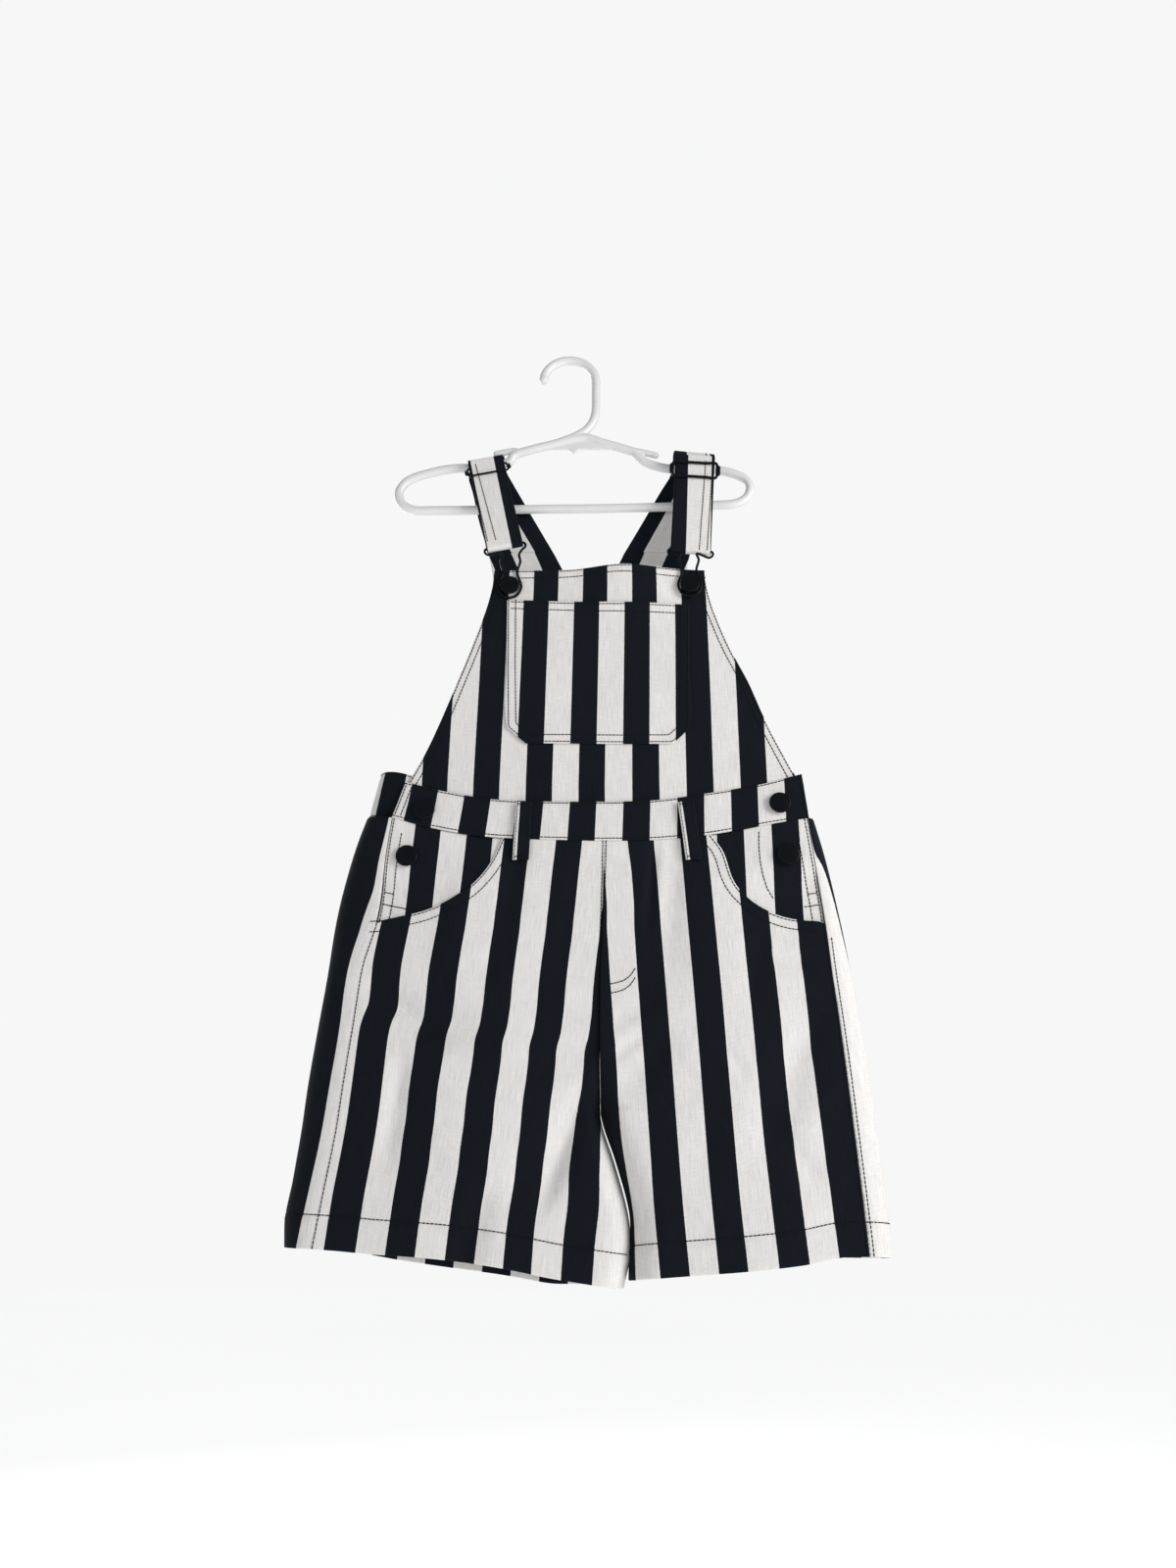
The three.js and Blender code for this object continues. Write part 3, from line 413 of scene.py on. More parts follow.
SEAM_DRIFT = Table(("z", "x"), [
    (-830, 0), (-760, 0), (-700, -1.5), (-650, -2.2), (-600, -1.6), (-560, 0), (-520, 1.4), (-485, 2.4),
])


def drift(x, z):
    """The centre seam wanders a little off its plane"""
    return SEAM_DRIFT("x", z) * math.exp(-(((x - CENTRE) / 45) ** 2))


def leg_point(leg, down, a, y):
    front, back = leg["outline"]("front", down), leg["outline"]("back", down)
    x = CENTRE + leg["side"] * a
    share = clamp01((y + front) / (front + back))
    top = WAIST_SEAM("z", x) + BACK_RISE * share - SEAM_GAP
    z = lerp(top, leg["hem"]("z", x) - leg["hem"]("drop", x) * share, down)
    if y < 0:
        press = fold_depth(-1, x, z) * (y / -front)
    else:
        press = -fold_depth(1, x, z) * (y / back)
    return (x + drift(x, z), y + press, z)


def leg_down(leg, x, z):
    top = WAIST_SEAM("z", x)
    return (top - z) / (top - leg["hem"]("z", x))


def front_at(leg, x, z):
    """Depth of a leg's front at a place on it"""
    down = clamp01(leg_down(leg, x, z))
    level = leg_level(leg, down)
    a = leg["side"] * (x - CENTRE)
    if a < level["turn_centre"]:
        over = clamp01((level["turn_centre"] - a) / level["turn"])
        return (fold_depth(-1, x, z) - level["front"]) * math.sqrt(1 - over * over)
    share = (a - level["turn_centre"]) / (level["seam"] - level["turn_centre"])
    arch = math.sin(math.pi * clamp01(share)) ** 2
    return fold_depth(-1, x, z) - level["front"] - FRONT_CROWN * level["crown"] * arch


def spread(path, count, trim, rim):
    """Points along a path: count even steps, and closer ones within a rim at both ends."""
    a = np.array(path)
    lengths = np.concatenate([[0], np.cumsum(np.hypot(*np.diff(a, axis=0).T))])
    stops = rim_stops(lengths[-1] - 2 * trim, count, rim) + trim
    return list(zip(np.interp(stops, lengths, a[:, 0]), np.interp(stops, lengths, a[:, 1])))


RIM_SHARES = (0, 0.12, 0.5)


def rim_stops(whole, count, rim):
    near = [rim * share for share in RIM_SHARES]
    even = list(np.linspace(rim, whole - rim, count))
    return np.array(near + even + [whole - stop for stop in reversed(near)])


# Cloth meshes
RIM = 1.1  # the width over which a cut or folded edge rounds off


def grid_normals(points, facing):
    down = np.gradient(points, axis=0)
    across = np.gradient(points, axis=1)
    normals = np.cross(across, down)
    normals /= np.linalg.norm(normals, axis=2, keepdims=True)
    middle = normals[points.shape[0] // 2, points.shape[1] // 2]
    return normals if np.dot(middle, facing) > 0 else -normals


def along_rows(points):
    steps = np.linalg.norm(np.diff(points, axis=1), axis=2)
    return np.concatenate([np.zeros((len(points), 1)), np.cumsum(steps, axis=1)], axis=1)


def along_columns(points):
    return along_rows(points.transpose(1, 0, 2)).T


def make_object(name, vertices, faces, uvs=None, material=None, smooth=True):
    mesh = bpy.data.meshes.new(name)
    mesh.from_pydata([tuple(v) for v in vertices], [], faces)
    mesh.validate()
    if uvs is not None:
        layer = mesh.uv_layers.new(name="cloth")
        index = np.zeros(len(mesh.loops), int)
        mesh.loops.foreach_get("vertex_index", index)
        layer.data.foreach_set("uv", np.asarray(uvs)[index].astype(np.float32).ravel())
    if smooth:
        mesh.polygons.foreach_set("use_smooth", [True] * len(mesh.polygons))
    mesh.update()
    made = bpy.data.objects.new(name, mesh)
    scene.collection.objects.link(made)
    if material is not None:
        made.data.materials.append(material)
    return made


def dress(made, node):
    """A piece's body, and the solid whose place it takes"""
    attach(made, "root")
    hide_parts(node)


def rounding(points, seams):
    """Share of the full thickness at each point. An edge rounds off fully, but one named in
    seams meets the next panel in a shallow groove."""
    u, v = along_rows(points), along_columns(points)
    distances = {"first": u, "last": u[:, -1:] - u, "top": v, "bottom": v[-1:, :] - v}
    share = np.ones(points.shape[:2])
    for edge, distance in distances.items():
        d = np.clip(distance / RIM, 0, 1)
        least = 0.55 if edge in seams else 0.1
        share = np.minimum(share, least + (1 - least) * np.sqrt(1 - (1 - d) ** 2))
    return share[..., None]


def shell(name, points, facing, thickness, cloth, material, seams=()):
    """A thin closed wall with rounded edges. points is a grid on its outside, cloth its
    coordinates across and along the grain, both in millimetres."""
    points = np.asarray(points, float)
    cloth = np.asarray(cloth, float)
    normals = grid_normals(points, np.asarray(facing, float))
    rows, columns = points.shape[:2]
    round_off = rounding(points, seams)
    half = thickness / 2
    middle = points - normals * half
    outer = middle + normals * half * round_off
    inner = middle - normals * half * round_off
    vertices = np.concatenate([outer.reshape(-1, 3), inner.reshape(-1, 3)]) * MM
    uvs = np.concatenate([cloth.reshape(-1, 2)] * 2) * MM
    count = rows * columns
    flip = np.dot(np.cross(points[rows // 2, columns // 2 + 1] - points[rows // 2, columns // 2],
                           points[rows // 2 + 1, columns // 2] - points[rows // 2, columns // 2]),
                  normals[rows // 2, columns // 2]) < 0
    faces = []

    def quad(a, b, c, e):
        faces.append((a, e, c, b) if flip else (a, b, c, e))

    for i in range(rows - 1):
        for j in range(columns - 1):
            a, b = i * columns + j, i * columns + j + 1
            c, e = b + columns, a + columns
            quad(a, b, c, e)
            quad(a + count, e + count, c + count, b + count)
    for j in range(columns - 1):
        a, b = j, j + 1
        quad(b, a, a + count, b + count)
        a, b = (rows - 1) * columns + j, (rows - 1) * columns + j + 1
        quad(a, b, b + count, a + count)
    for i in range(rows - 1):
        a, b = i * columns, (i + 1) * columns
        quad(a, b, b + count, a + count)
        a, b = (i + 1) * columns - 1, (i + 2) * columns - 1
        quad(b, a, a + count, b + count)
    return make_object(name, vertices, faces, uvs, material)


# Materials
def node_maker(name):
    material = bpy.data.materials.new(name)
    material.use_nodes = True
    tree = material.node_tree
    tree.nodes.clear()
    out = tree.nodes.new("ShaderNodeOutputMaterial")
    shader = tree.nodes.new("ShaderNodeBsdfPrincipled")
    tree.links.new(shader.outputs[0], out.inputs["Surface"])

    def make(kind, settings=None, **inputs):
        node = tree.nodes.new(kind)
        for key, value in (settings or {}).items():
            setattr(node, key, value)
        for key, value in inputs.items():
            socket = node.inputs[int(key[1:])] if key[0] == "_" else node.inputs[key]
            if hasattr(value, "is_output"):
                tree.links.new(value, socket)
            else:
                socket.default_value = value
        return node

    return material, shader, tree.links, make


def math_node(make, operation, a, b=0.0, c=0.0):
    return make("ShaderNodeMath", {"operation": operation}, _0=a, _1=b, _2=c).outputs[0]


def mix_colour(make, fac, a, b):
    return make("ShaderNodeMix", {"data_type": "RGBA"}, _0=fac, _6=a, _7=b).outputs[2]


def twill_material():
    """Yarn-dyed stripes: the cloth coordinate across the grain says which colour a yarn has."""
    material, shader, links, make = node_maker("striped_twill")
    uv = make("ShaderNodeUVMap", {"uv_map": "cloth"}).outputs[0]
    parts = make("ShaderNodeSeparateXYZ", _0=uv).outputs
    across, along = parts[0], parts[1]
    wander = make("ShaderNodeTexNoise", {"noise_dimensions": "3D"}, Vector=uv, Scale=900.0, Detail=2.0)
    jitter = math_node(make, "MULTIPLY_ADD", wander.outputs["Fac"], 0.0005, -0.00025)
    place = math_node(make, "ADD", across, jitter)
    share = math_node(make, "FRACT", math_node(make, "DIVIDE", place, 2 * STRIPE * MM))
    rise = make("ShaderNodeMapRange", {"interpolation_type": "SMOOTHSTEP"},
                _0=share, _1=0.0, _2=0.007, _3=0.0, _4=1.0).outputs[0]
    fall = make("ShaderNodeMapRange", {"interpolation_type": "SMOOTHSTEP"},
                _0=share, _1=0.5, _2=0.507, _3=1.0, _4=0.0).outputs[0]
    white_mask = math_node(make, "MULTIPLY", rise, fall)

    # slubs run along the grain, weft shows as a faint cross grain
    stretched = make("ShaderNodeMapping", Vector=uv)
    stretched.inputs["Scale"].default_value = (1400, 60, 1)
    slub = make("ShaderNodeTexNoise", Vector=stretched.outputs[0], Scale=1.0, Detail=3.0).outputs["Fac"]
    cross = make("ShaderNodeMapping", Vector=uv)
    cross.inputs["Scale"].default_value = (110, 1300, 1)
    weft = make("ShaderNodeTexNoise", Vector=cross.outputs[0], Scale=1.0, Detail=2.0).outputs["Fac"]
    blotch = make("ShaderNodeTexNoise", Vector=uv, Scale=22.0, Detail=4.0).outputs["Fac"]
    # twill line: 1.2 mm apart, leaning across the grain
    lean = math_node(make, "MULTIPLY_ADD", along, 0.8, across)
    twill = math_node(make, "SINE", math_node(make, "MULTIPLY", lean, 2 * math.pi / (1.2 * MM)))
    yarn = math_node(make, "SINE", math_node(make, "MULTIPLY", across, 2 * math.pi / (0.5 * MM)))
    relief = math_node(make, "MULTIPLY_ADD", twill, 0.35, math_node(make, "MULTIPLY", yarn, 0.18))
    relief = math_node(make, "ADD", relief, math_node(make, "MULTIPLY", slub, 0.9))

    # how far a yarn is from the lighter to the darker of its two shades
    tone = math_node(make, "MULTIPLY_ADD", slub, 1.5, -0.72)
    tone = math_node(make, "ADD", tone, math_node(make, "MULTIPLY", weft, 0.8))
    tone = math_node(make, "MULTIPLY_ADD", twill, 0.22, tone)
    white = mix_colour(make, tone, (0.785, 0.776, 0.762, 1), (0.52, 0.512, 0.50, 1))
    white = mix_colour(make, math_node(make, "MULTIPLY", blotch, 0.22), white, (0.66, 0.62, 0.58, 1))
    black = mix_colour(make, tone, (0.0013, 0.0030, 0.0060, 1), (0.0052, 0.0080, 0.0125, 1))
    colour = mix_colour(make, white_mask, black, white)
    links.new(colour, shader.inputs["Base Color"])
    links.new(math_node(make, "MULTIPLY_ADD", slub, 0.12, 0.78), shader.inputs["Roughness"])
    shader.inputs["Specular IOR Level"].default_value = 0.12
    shader.inputs["Sheen Weight"].default_value = 0.02
    shader.inputs["Sheen Roughness"].default_value = 0.45
    bump = make("ShaderNodeBump", Height=relief, Strength=0.5, Distance=0.0002)
    links.new(bump.outputs[0], shader.inputs["Normal"])
    return material


def plain_material(name, colour, roughness, grain_scale, grain, specular=0.5):
    material, shader, links, make = node_maker(name)
    place = make("ShaderNodeTexCoord").outputs["Object"]
    fine = make("ShaderNodeTexNoise", Vector=place, Scale=grain_scale, Detail=3.0).outputs["Fac"]
    broad = make("ShaderNodeTexNoise", Vector=place, Scale=grain_scale / 12, Detail=2.0).outputs["Fac"]
    dark = tuple(c * 0.86 for c in colour) + (1,)
    base = mix_colour(make, math_node(make, "MULTIPLY", broad, 0.7), tuple(colour) + (1,), dark)
    links.new(base, shader.inputs["Base Color"])
    links.new(math_node(make, "MULTIPLY_ADD", fine, 0.16, roughness - 0.08), shader.inputs["Roughness"])
    shader.inputs["Specular IOR Level"].default_value = specular
    bump = make("ShaderNodeBump", Height=fine, Strength=grain, Distance=0.0001)
    links.new(bump.outputs[0], shader.inputs["Normal"])
    return material


TWILL_LOOK = twill_material()
THREAD_LOOK = plain_material("black_thread", (0.004, 0.0045, 0.0055), 0.75, 2600, 0.5, specular=0.15)
METAL_LOOK = plain_material("black_enamel", (0.0038, 0.0043, 0.0056), 0.24, 900, 0.08, specular=0.1)
PLASTIC_LOOK = plain_material("white_plastic", (0.67, 0.67, 0.675), 0.3, 420, 0.08)


# Stripes on the panels
def stripe_table(rows, limits=(-1e4, 1e4), sways=()):
    """Where a black stripe gives way to a white one, toward +X, at a height, and the width of
    the stripes to its left and to its right. limits hold the last stripe at a seam.
    Each sway (x, z, width, height, shift) moves the stripes a little around a place."""
    table = Table(("z", "x", "left", "right"), rows)
    table.limits = limits
    table.sways = sways
    return table


STRIPES = {
    "bib": stripe_table([(-440, 27.6, 21.4, 22.2), (-350, 29.2, 21.4, 21.9), (-256, 30.8, 21.5, 21.45)]),
    "pocket": stripe_table([(-405, 21.0, 21.7, 21.7), (-296, 23.3, 21.8, 21.8), (-265, 23.8, 21.8, 21.8)]),
    "band": stripe_table([(-490, 19.2, 21.8, 21.85), (-472, 20.0, 21.5, 21.8), (-455, 20.8, 21.3, 21.75)]),
    "left": stripe_table([
        (-820, -151.4, 22.6, 21.05), (-786, -148.4, 22.6, 21.05), (-755, -145.5, 22.6, 21.05),
        (-728, -141.8, 22.6, 21.05), (-702, -138.9, 22.5, 21.05), (-668, -136.5, 22.4, 21.05),
        (-652, -135.6, 22.3, 21.05), (-638, -134.2, 22.3, 21.05), (-622, -130.4, 22.2, 21.05),
        (-591, -128.2, 22.2, 21.05), (-567, -125, 22.2, 21), (-552, -122.9, 22.2, 21),
        (-500, -117.2, 21.8, 20.9), (-466, -113.5, 21.8, 20.8),
    ], limits=(-1e4, 9 * STRIPE - 0.2), sways=[(-62, -610, 36, 110, 2.5), (-14, -770, 26, 60, -2.3)]),
    "right": stripe_table([
        (-820, 125.8, 20.2, 21.6), (-743, 120.5, 20.3, 21.6), (-672, 117.2, 20.5, 21.3),
        (-602, 114, 20.8, 21.2), (-540, 110.8, 21, 21.4), (-480, 107.8, 21, 21.4),
    ], (-5 * STRIPE + 0.2, 4 * STRIPE - 0.2)),
    "facing_left": stripe_table([(-560, -108, 21, 21), (-531, -106.4, 21, 21), (-474, -103.1, 21, 21)]),
    "facing_right": stripe_table([(-560, 137.2, 22, 22.3), (-475, 138.4, 22, 22.3)]),
}


def cloth_by_x(points, stripes, turned=None, level=False):
    """Cloth coordinates of a grid: u is 0 where black gives way to white, measured along each
    row's own length, and v runs down the columns. turned holds, for each row, the x of the
    centre of an inner turn and the share of its length that counts there. level measures
    straight across instead, for a piece whose rows bend."""
    u = np.zeros(points.shape[:2])
    for i, row in enumerate(points):
        xs = row[:, 0]
        z = float(row[len(row) // 2, 2])
        order = np.argsort(xs, kind="stable")
        for _ in range(2):
            ref = stripes("x", z)
            z = float(np.interp(ref, xs[order], row[:, 2][order]))
        ref = stripes("x", z)
        steps = np.abs(np.diff(xs)) if level else np.linalg.norm(np.diff(row, axis=0), axis=1)
        if turned is not None:
            centre, share, side = turned[i]
            inside = (row[:-1, 0] - centre) * side < 0
            steps = np.where(inside, steps * share, steps)
        lengths = np.concatenate([[0], np.cumsum(steps)])
        at = np.interp(ref, xs[order], lengths[order])
        beyond = ref - xs[order][-1] if ref > xs[order][-1] else min(0.0, ref - xs[order][0])
        sign = 1 if xs[-1] > xs[0] else -1
        along = (lengths - at) * sign - beyond
        pitch = np.where(along < 0, stripes("left", z), stripes("right", z))
        for x0, z0, width, height, shift in stripes.sways:
            along = along - shift * np.exp(-(((xs - x0) / width) ** 2) - ((row[:, 2] - z0) / height) ** 2)
        u[i] = np.clip(along * STRIPE / pitch, *stripes.limits)
    return np.stack([u, along_columns(points)], axis=2)


# Sewing
class Sewing:
    """Stitches of one thread, joined into one mesh."""

    SIDES = 5
    SECTION = ((0.0, -0.35, 0.55), (0.14, 0.18, 1.0), (0.5, 0.3, 1.0), (0.86, 0.18, 1.0), (1.0, -0.35, 0.55))

    def __init__(self, name, radius=0.42):
        self.name, self.radius = name, radius
        self.vertices, self.faces = [], []

    def stitch(self, start, end, normal):
        start, end, normal = (np.asarray(p, float) for p in (start, end, normal))
        along = end - start
        side = np.cross(along, normal)
        side /= np.linalg.norm(side)
        first = len(self.vertices)
        for t, lift, width in self.SECTION:
            centre = start + along * t + normal * lift * self.radius * 1.6
            for k in range(self.SIDES):
                angle = 2 * math.pi * k / self.SIDES
                self.vertices.append(
                    centre + (side * math.cos(angle) + normal * math.sin(angle)) * self.radius * width)
        n = self.SIDES
        for ring in range(len(self.SECTION) - 1):
            for k in range(n):
                a, b = first + ring * n + k, first + ring * n + (k + 1) % n
                self.faces.append((a, b, b + n, a + n))
        self.faces.append(tuple(first + k for k in reversed(range(n))))
        last = first + (len(self.SECTION) - 1) * n
        self.faces.append(tuple(last + k for k in range(n)))

    def line(self, points, normals, pitch=3.0, fill=0.9):
        """Stitches along a line on the cloth's surface"""
        points, normals = np.asarray(points, float), np.asarray(normals, float)
        lengths = np.concatenate([[0], np.cumsum(np.linalg.norm(np.diff(points, axis=0), axis=1))])
        count = max(1, int(round(lengths[-1] / pitch)))
        step = lengths[-1] / count

        def at(values, s):
            return np.array([np.interp(s, lengths, values[:, k]) for k in range(3)])

        for k in range(count):
            s0 = k * step + RNG.uniform(0, 0.12)
            s1 = s0 + step * fill
            normal = at(normals, (s0 + s1) / 2)
            normal /= np.linalg.norm(normal)
            self.stitch(at(points, s0), at(points, min(s1, lengths[-1])), normal)

    def route(self, surface, route, **kinds):
        """A line of stitches through (x, z) places on a surface"""
        placed = [surface.place(x, z) for x, z in resample(route, 1.5)]
        self.line([p for p, _ in placed], [n for _, n in placed], **kinds)

    def beside(self, surface, edge, distance, start=0.0, end=1.0, **kinds):
        """A line of stitches beside an edge. distance is one number, or one at each end."""
        self.line(*surface.beside(edge, distance, start, end), **kinds)

    def build(self):
        made = make_object(self.name, np.array(self.vertices) * MM, self.faces, None, THREAD_LOOK)
        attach(made, "root")
        return made


def resample(route, spacing):
    a = np.asarray(route, float)
    lengths = np.concatenate([[0], np.cumsum(np.linalg.norm(np.diff(a, axis=0), axis=1))])
    count = max(2, int(math.ceil(lengths[-1] / spacing)) + 1)
    stops = np.linspace(0, lengths[-1], count)
    return np.stack([np.interp(stops, lengths, a[:, k]) for k in range(a.shape[1])], axis=1)


class Surface:
    """The outside of a shell, to sew on"""

    def __init__(self, points, facing):
        self.points = np.asarray(points, float)
        self.normals = grid_normals(self.points, np.asarray(facing, float))

    def place(self, x, z):
        """The place on the surface at x and z, and the normal there"""
        p = self.points
        toward = self.normals[..., 1] * np.sign(self.normals[p.shape[0] // 2, p.shape[1] // 2, 1])
        gap = (p[..., 0] - x) ** 2 + (p[..., 2] - z) ** 2 + np.where(toward < 0.25, 1e6, 0)
        i, j = np.unravel_index(np.argmin(gap), gap.shape)
        near, normal = p[i, j], self.normals[i, j]
        y = near[1] - (normal[0] * (x - near[0]) + normal[2] * (z - near[2])) / normal[1]
        return np.array([x, y, z]), normal

    def beside(self, edge, distance, start=0.0, end=1.0):
        p, n = self.points, self.normals
        if edge in ("top", "bottom"):
            p, n = p.transpose(1, 0, 2), n.transpose(1, 0, 2)
        if edge in ("last", "bottom"):
            p, n = p[:, ::-1], n[:, ::-1]
        lengths = along_rows(p)
        edge_line = p[:, 0]
        run = np.concatenate([[0], np.cumsum(np.linalg.norm(np.diff(edge_line, axis=0), axis=1))])
        share = run / run[-1]
        gaps = np.interp(share, (start, end), distance if isinstance(distance, tuple) else (distance,) * 2)
        keep = np.nonzero((share >= start) & (share <= end))[0]
        points, normals = [], []
        for i in keep:
            points.append([np.interp(gaps[i], lengths[i], p[i, :, k]) for k in range(3)])
            normals.append([np.interp(gaps[i], lengths[i], n[i, :, k]) for k in range(3)])
        return points, normals


# Legs
LEG_LENGTH = 330.0
HEM = 23.0


def leg_rows(start, count):
    near = [RIM * share / LEG_LENGTH for share in RIM_SHARES]
    even = list(np.linspace(start + RIM / LEG_LENGTH, 1 - RIM / LEG_LENGTH, count))
    return [start + step for step in near] + even + [1 - step for step in reversed(near)]


def hem_relief(down, along):
    """The turned hem is thicker, and puckers a little where it is sewn"""
    above = (1 - down) * LEG_LENGTH
    turned = 0.55 * (1 - smoothstep(HEM - 1.2, HEM + 1.0, above))
    sewn = math.exp(-(((above - HEM) / 5.5) ** 2))
    pucker = 0.32 * sewn * math.sin(along / 5.2 + 2.2 * ripple(along, 0, 30, 5.0))
    return turned - 0.35 * math.exp(-(((above - HEM) / 1.3) ** 2)) + pucker


def raise_grid(points, facing, relief):
    normals = grid_normals(points, np.asarray(facing, float))
    return points + normals * relief[..., None]


def raise_hem(rows, points, facing):
    lengths = along_rows(points)
    relief = [[hem_relief(down, along) for along in lengths[i]] for i, down in enumerate(rows)]
    return raise_grid(points, facing, np.array(relief))


# The share of an inner turn's length that the stripes count
TURN_SHARE = Table(("z", "left", "right"), [
    (-820, 0.75, 0.95), (-790, 0.75, 0.95), (-770, 0.85, 0.95), (-745, 0.98, 0.95), (-715, 0.88, 0.95),
    (-690, 0.62, 0.95), (-480, 0.62, 0.95),
])
# For a leg's back: the width of its first stripe, which is white, beside the side seam, the
# share of the side turn's length that the stripes count, and how far they lag at its edge
BACK_STRIPES = {
    "left": (
        Table(("z", "x"), [(-800, 7.7), (-740, 7.5), (-650, 7), (-560, 8), (-525, 4), (-466, 2)]),
        Table(("z", "share", "lag"), [
            (-820, 0.68, 0), (-780, 0.71, 0), (-740, 0.76, 0), (-700, 0.84, 4), (-620, 0.93, 8),
            (-570, 0.93, 8), (-535, 0.8, 8), (-505, 0.72, 8), (-485, 0.85, 6), (-466, 1, 3),
        ]),
    ),
    "right": (
        Table(("z", "x"), [
            (-820, 24), (-640, 23), (-600, 21), (-553, 16), (-530, 11.5), (-514, 7), (-500, 1), (-466, 0),
        ]),
        Table(("z", "share", "lag"), [(-820, 1, 8), (-600, 1, 8), (-560, 1, 0), (-466, 1, 0)]),
    ),
}

# How far from the side seam the lag is whole and then fades, the stripes start to turn
# straight, and how far beyond the side turn they are straight
LAG_RISES = 36
LAG_FALLS = 44
EASE_FROM = 25
STRAIGHT_FROM = 60


def build_leg(name):
    leg = LEGS[name]
    rows = leg_rows(0, 120)

    front = np.array([[leg_point(leg, down, a, y)
                       for a, y in spread(front_path(leg, down), 64, -0.02, RIM)] for down in rows])
    front = raise_hem(rows, front, (0, -1, 0))
    turned = [(CENTRE + leg["side"] * leg_level(leg, down)["turn_centre"],
               TURN_SHARE(name, front[i, 0, 2]), leg["side"]) for i, down in enumerate(rows)]
    cloth = cloth_by_x(front, STRIPES[name], turned)
    made = shell(f"front_{name}", front, (0, -1, 0), TWILL, cloth, TWILL_LOOK, ("top", "first", "last"))
    dress(made, f"leg_front_{name}")

    back = np.array([[leg_point(leg, down, a, y)
                      for a, y in spread(back_path(leg, down), 96, -0.02, RIM)] for down in rows])
    lengths_back = along_rows(back)
    back = raise_hem(rows, back, (0, 1, 0))
    first, counted = BACK_STRIPES[name]
    u = np.zeros(back.shape[:2])
    for i, down in enumerate(rows):
        turn = np.array(back_path(leg, down)[:2 * QUARTER_STEPS + 1])
        turn_length = float(np.sum(np.linalg.norm(np.diff(turn, axis=0), axis=1)))
        z, across = back[i, 0, 2], lengths_back[i]
        run = np.minimum(across, turn_length) * counted("share", z) + np.maximum(across - turn_length, 0)
        late = np.clip(across / LAG_RISES, 0, 1)
        late = late - np.clip((across - LAG_FALLS) / (turn_length + 16), 0, 1)
        u[i] = run - first("x", z) - counted("lag", z) * late * late * (3 - 2 * late)
    turn_length += STRAIGHT_FROM
    middle = np.array([np.interp(turn_length, lengths_back[i], back[i, :, 0]) for i in range(len(rows))])
    phase = np.array([np.interp(turn_length, lengths_back[i], u[i]) for i in range(len(rows))])
    zero = middle + leg["side"] * phase
    straight = np.polyval(np.polyfit(back[:, 0, 2], zero, 1), back[:, 0, 2])
    ease = np.clip((lengths_back - EASE_FROM) / (turn_length - EASE_FROM), 0, 1)
    u = u + leg["side"] * (straight - zero)[:, None] * ease * ease * (3 - 2 * ease)
    u = np.maximum(u + STRIPE, 0.2) if name == "right" else -u
    cloth_back = np.stack([u, along_columns(back)], axis=2)
    made_back = shell(f"back_{name}", back, (0, 1, 0), TWILL, cloth_back, TWILL_LOOK,
                      ("top", "first", "last"))
    dress(made_back, f"leg_back_{name}")
    return rows, front, back, made, made_back


LEG_GRIDS = {side: build_leg(side) for side in LEGS}


def pocket_facing(name):
    leg = LEGS[name]
    underlap, behind = 14, TWILL + LAID_GAP
    rows = [0, 0.0004, 0.0016, *np.linspace(0.0034, 0.326, 44), 0.3283, 0.3296, 0.33]
    grid = []
    for down in rows:
        level = leg_level(leg, down)

        def outward(at):
            return leg["side"] * (leg["mouth"]("x", at) - CENTRE)

        start = outward(min(down, 0.14)) - underlap
        end = level["seam"] - 2 * SEAM_GAP
        row = []
        for stop in rim_stops(end - start, 40, RIM):
            a = start + stop
            arch = math.sin(math.pi * (a - level["turn_centre"]) / (level["seam"] - level["turn_centre"]))
            outside = -level["front"] - FRONT_CROWN * level["crown"] * arch ** 2
            lift = smoothstep(outward(down) + 12, end - 8, a) * (1 - smoothstep(0.12, 0.18, down))
            x, y, z = leg_point(leg, down, a, outside)
            row.append((x, y + behind * (1 - lift), z))
        grid.append(row)
    points = np.array(grid)
    cloth = cloth_by_x(points, STRIPES[f"facing_{name}"])
    made = shell(f"facing_{name}", points, (0, -1, 0), TWILL, cloth, TWILL_LOOK, ("top",))
    dress(made, f"pocket_facing_{name}")
    return points, made


FACINGS = {side: pocket_facing(side) for side in LEGS}

# Waistband
BAND_TOP = Table(("x", "z"), [
    (-134, -439), (-103, -447), (-62, -454), (1, -456), (65, -455), (109, -449), (154, -441),
    (188, -432),
])
BAND_ENDS = {"left": (-134, -143), "right": (188, 191)}


def band_down(x, z):
    """How far down the band a place is, from 0 to 1"""
    return clamp01((BAND_TOP("z", x) - z) / (BAND_TOP("z", x) - WAIST_SEAM("z", x)))


def band_at(x, z):
    t = band_down(x, z)
    return -lerp(BAND_FRONT_TOP, BAND_FRONT_BOTTOM, t) + band_relief(x, z, t)


def sewn_in(t):
    """How far the seams near a band's two edges draw it in, from 0 to 1"""
    return math.exp(-(((t - 0.06) / 0.05) ** 2)) + math.exp(-(((t - 0.94) / 0.05) ** 2))


def band_relief(x, z, t):
    return 0.28 * sewn_in(t) + 0.4 * ripple(x, z, 38, 1.7) + 0.15 * ripple(x, z, 11, 4.4)


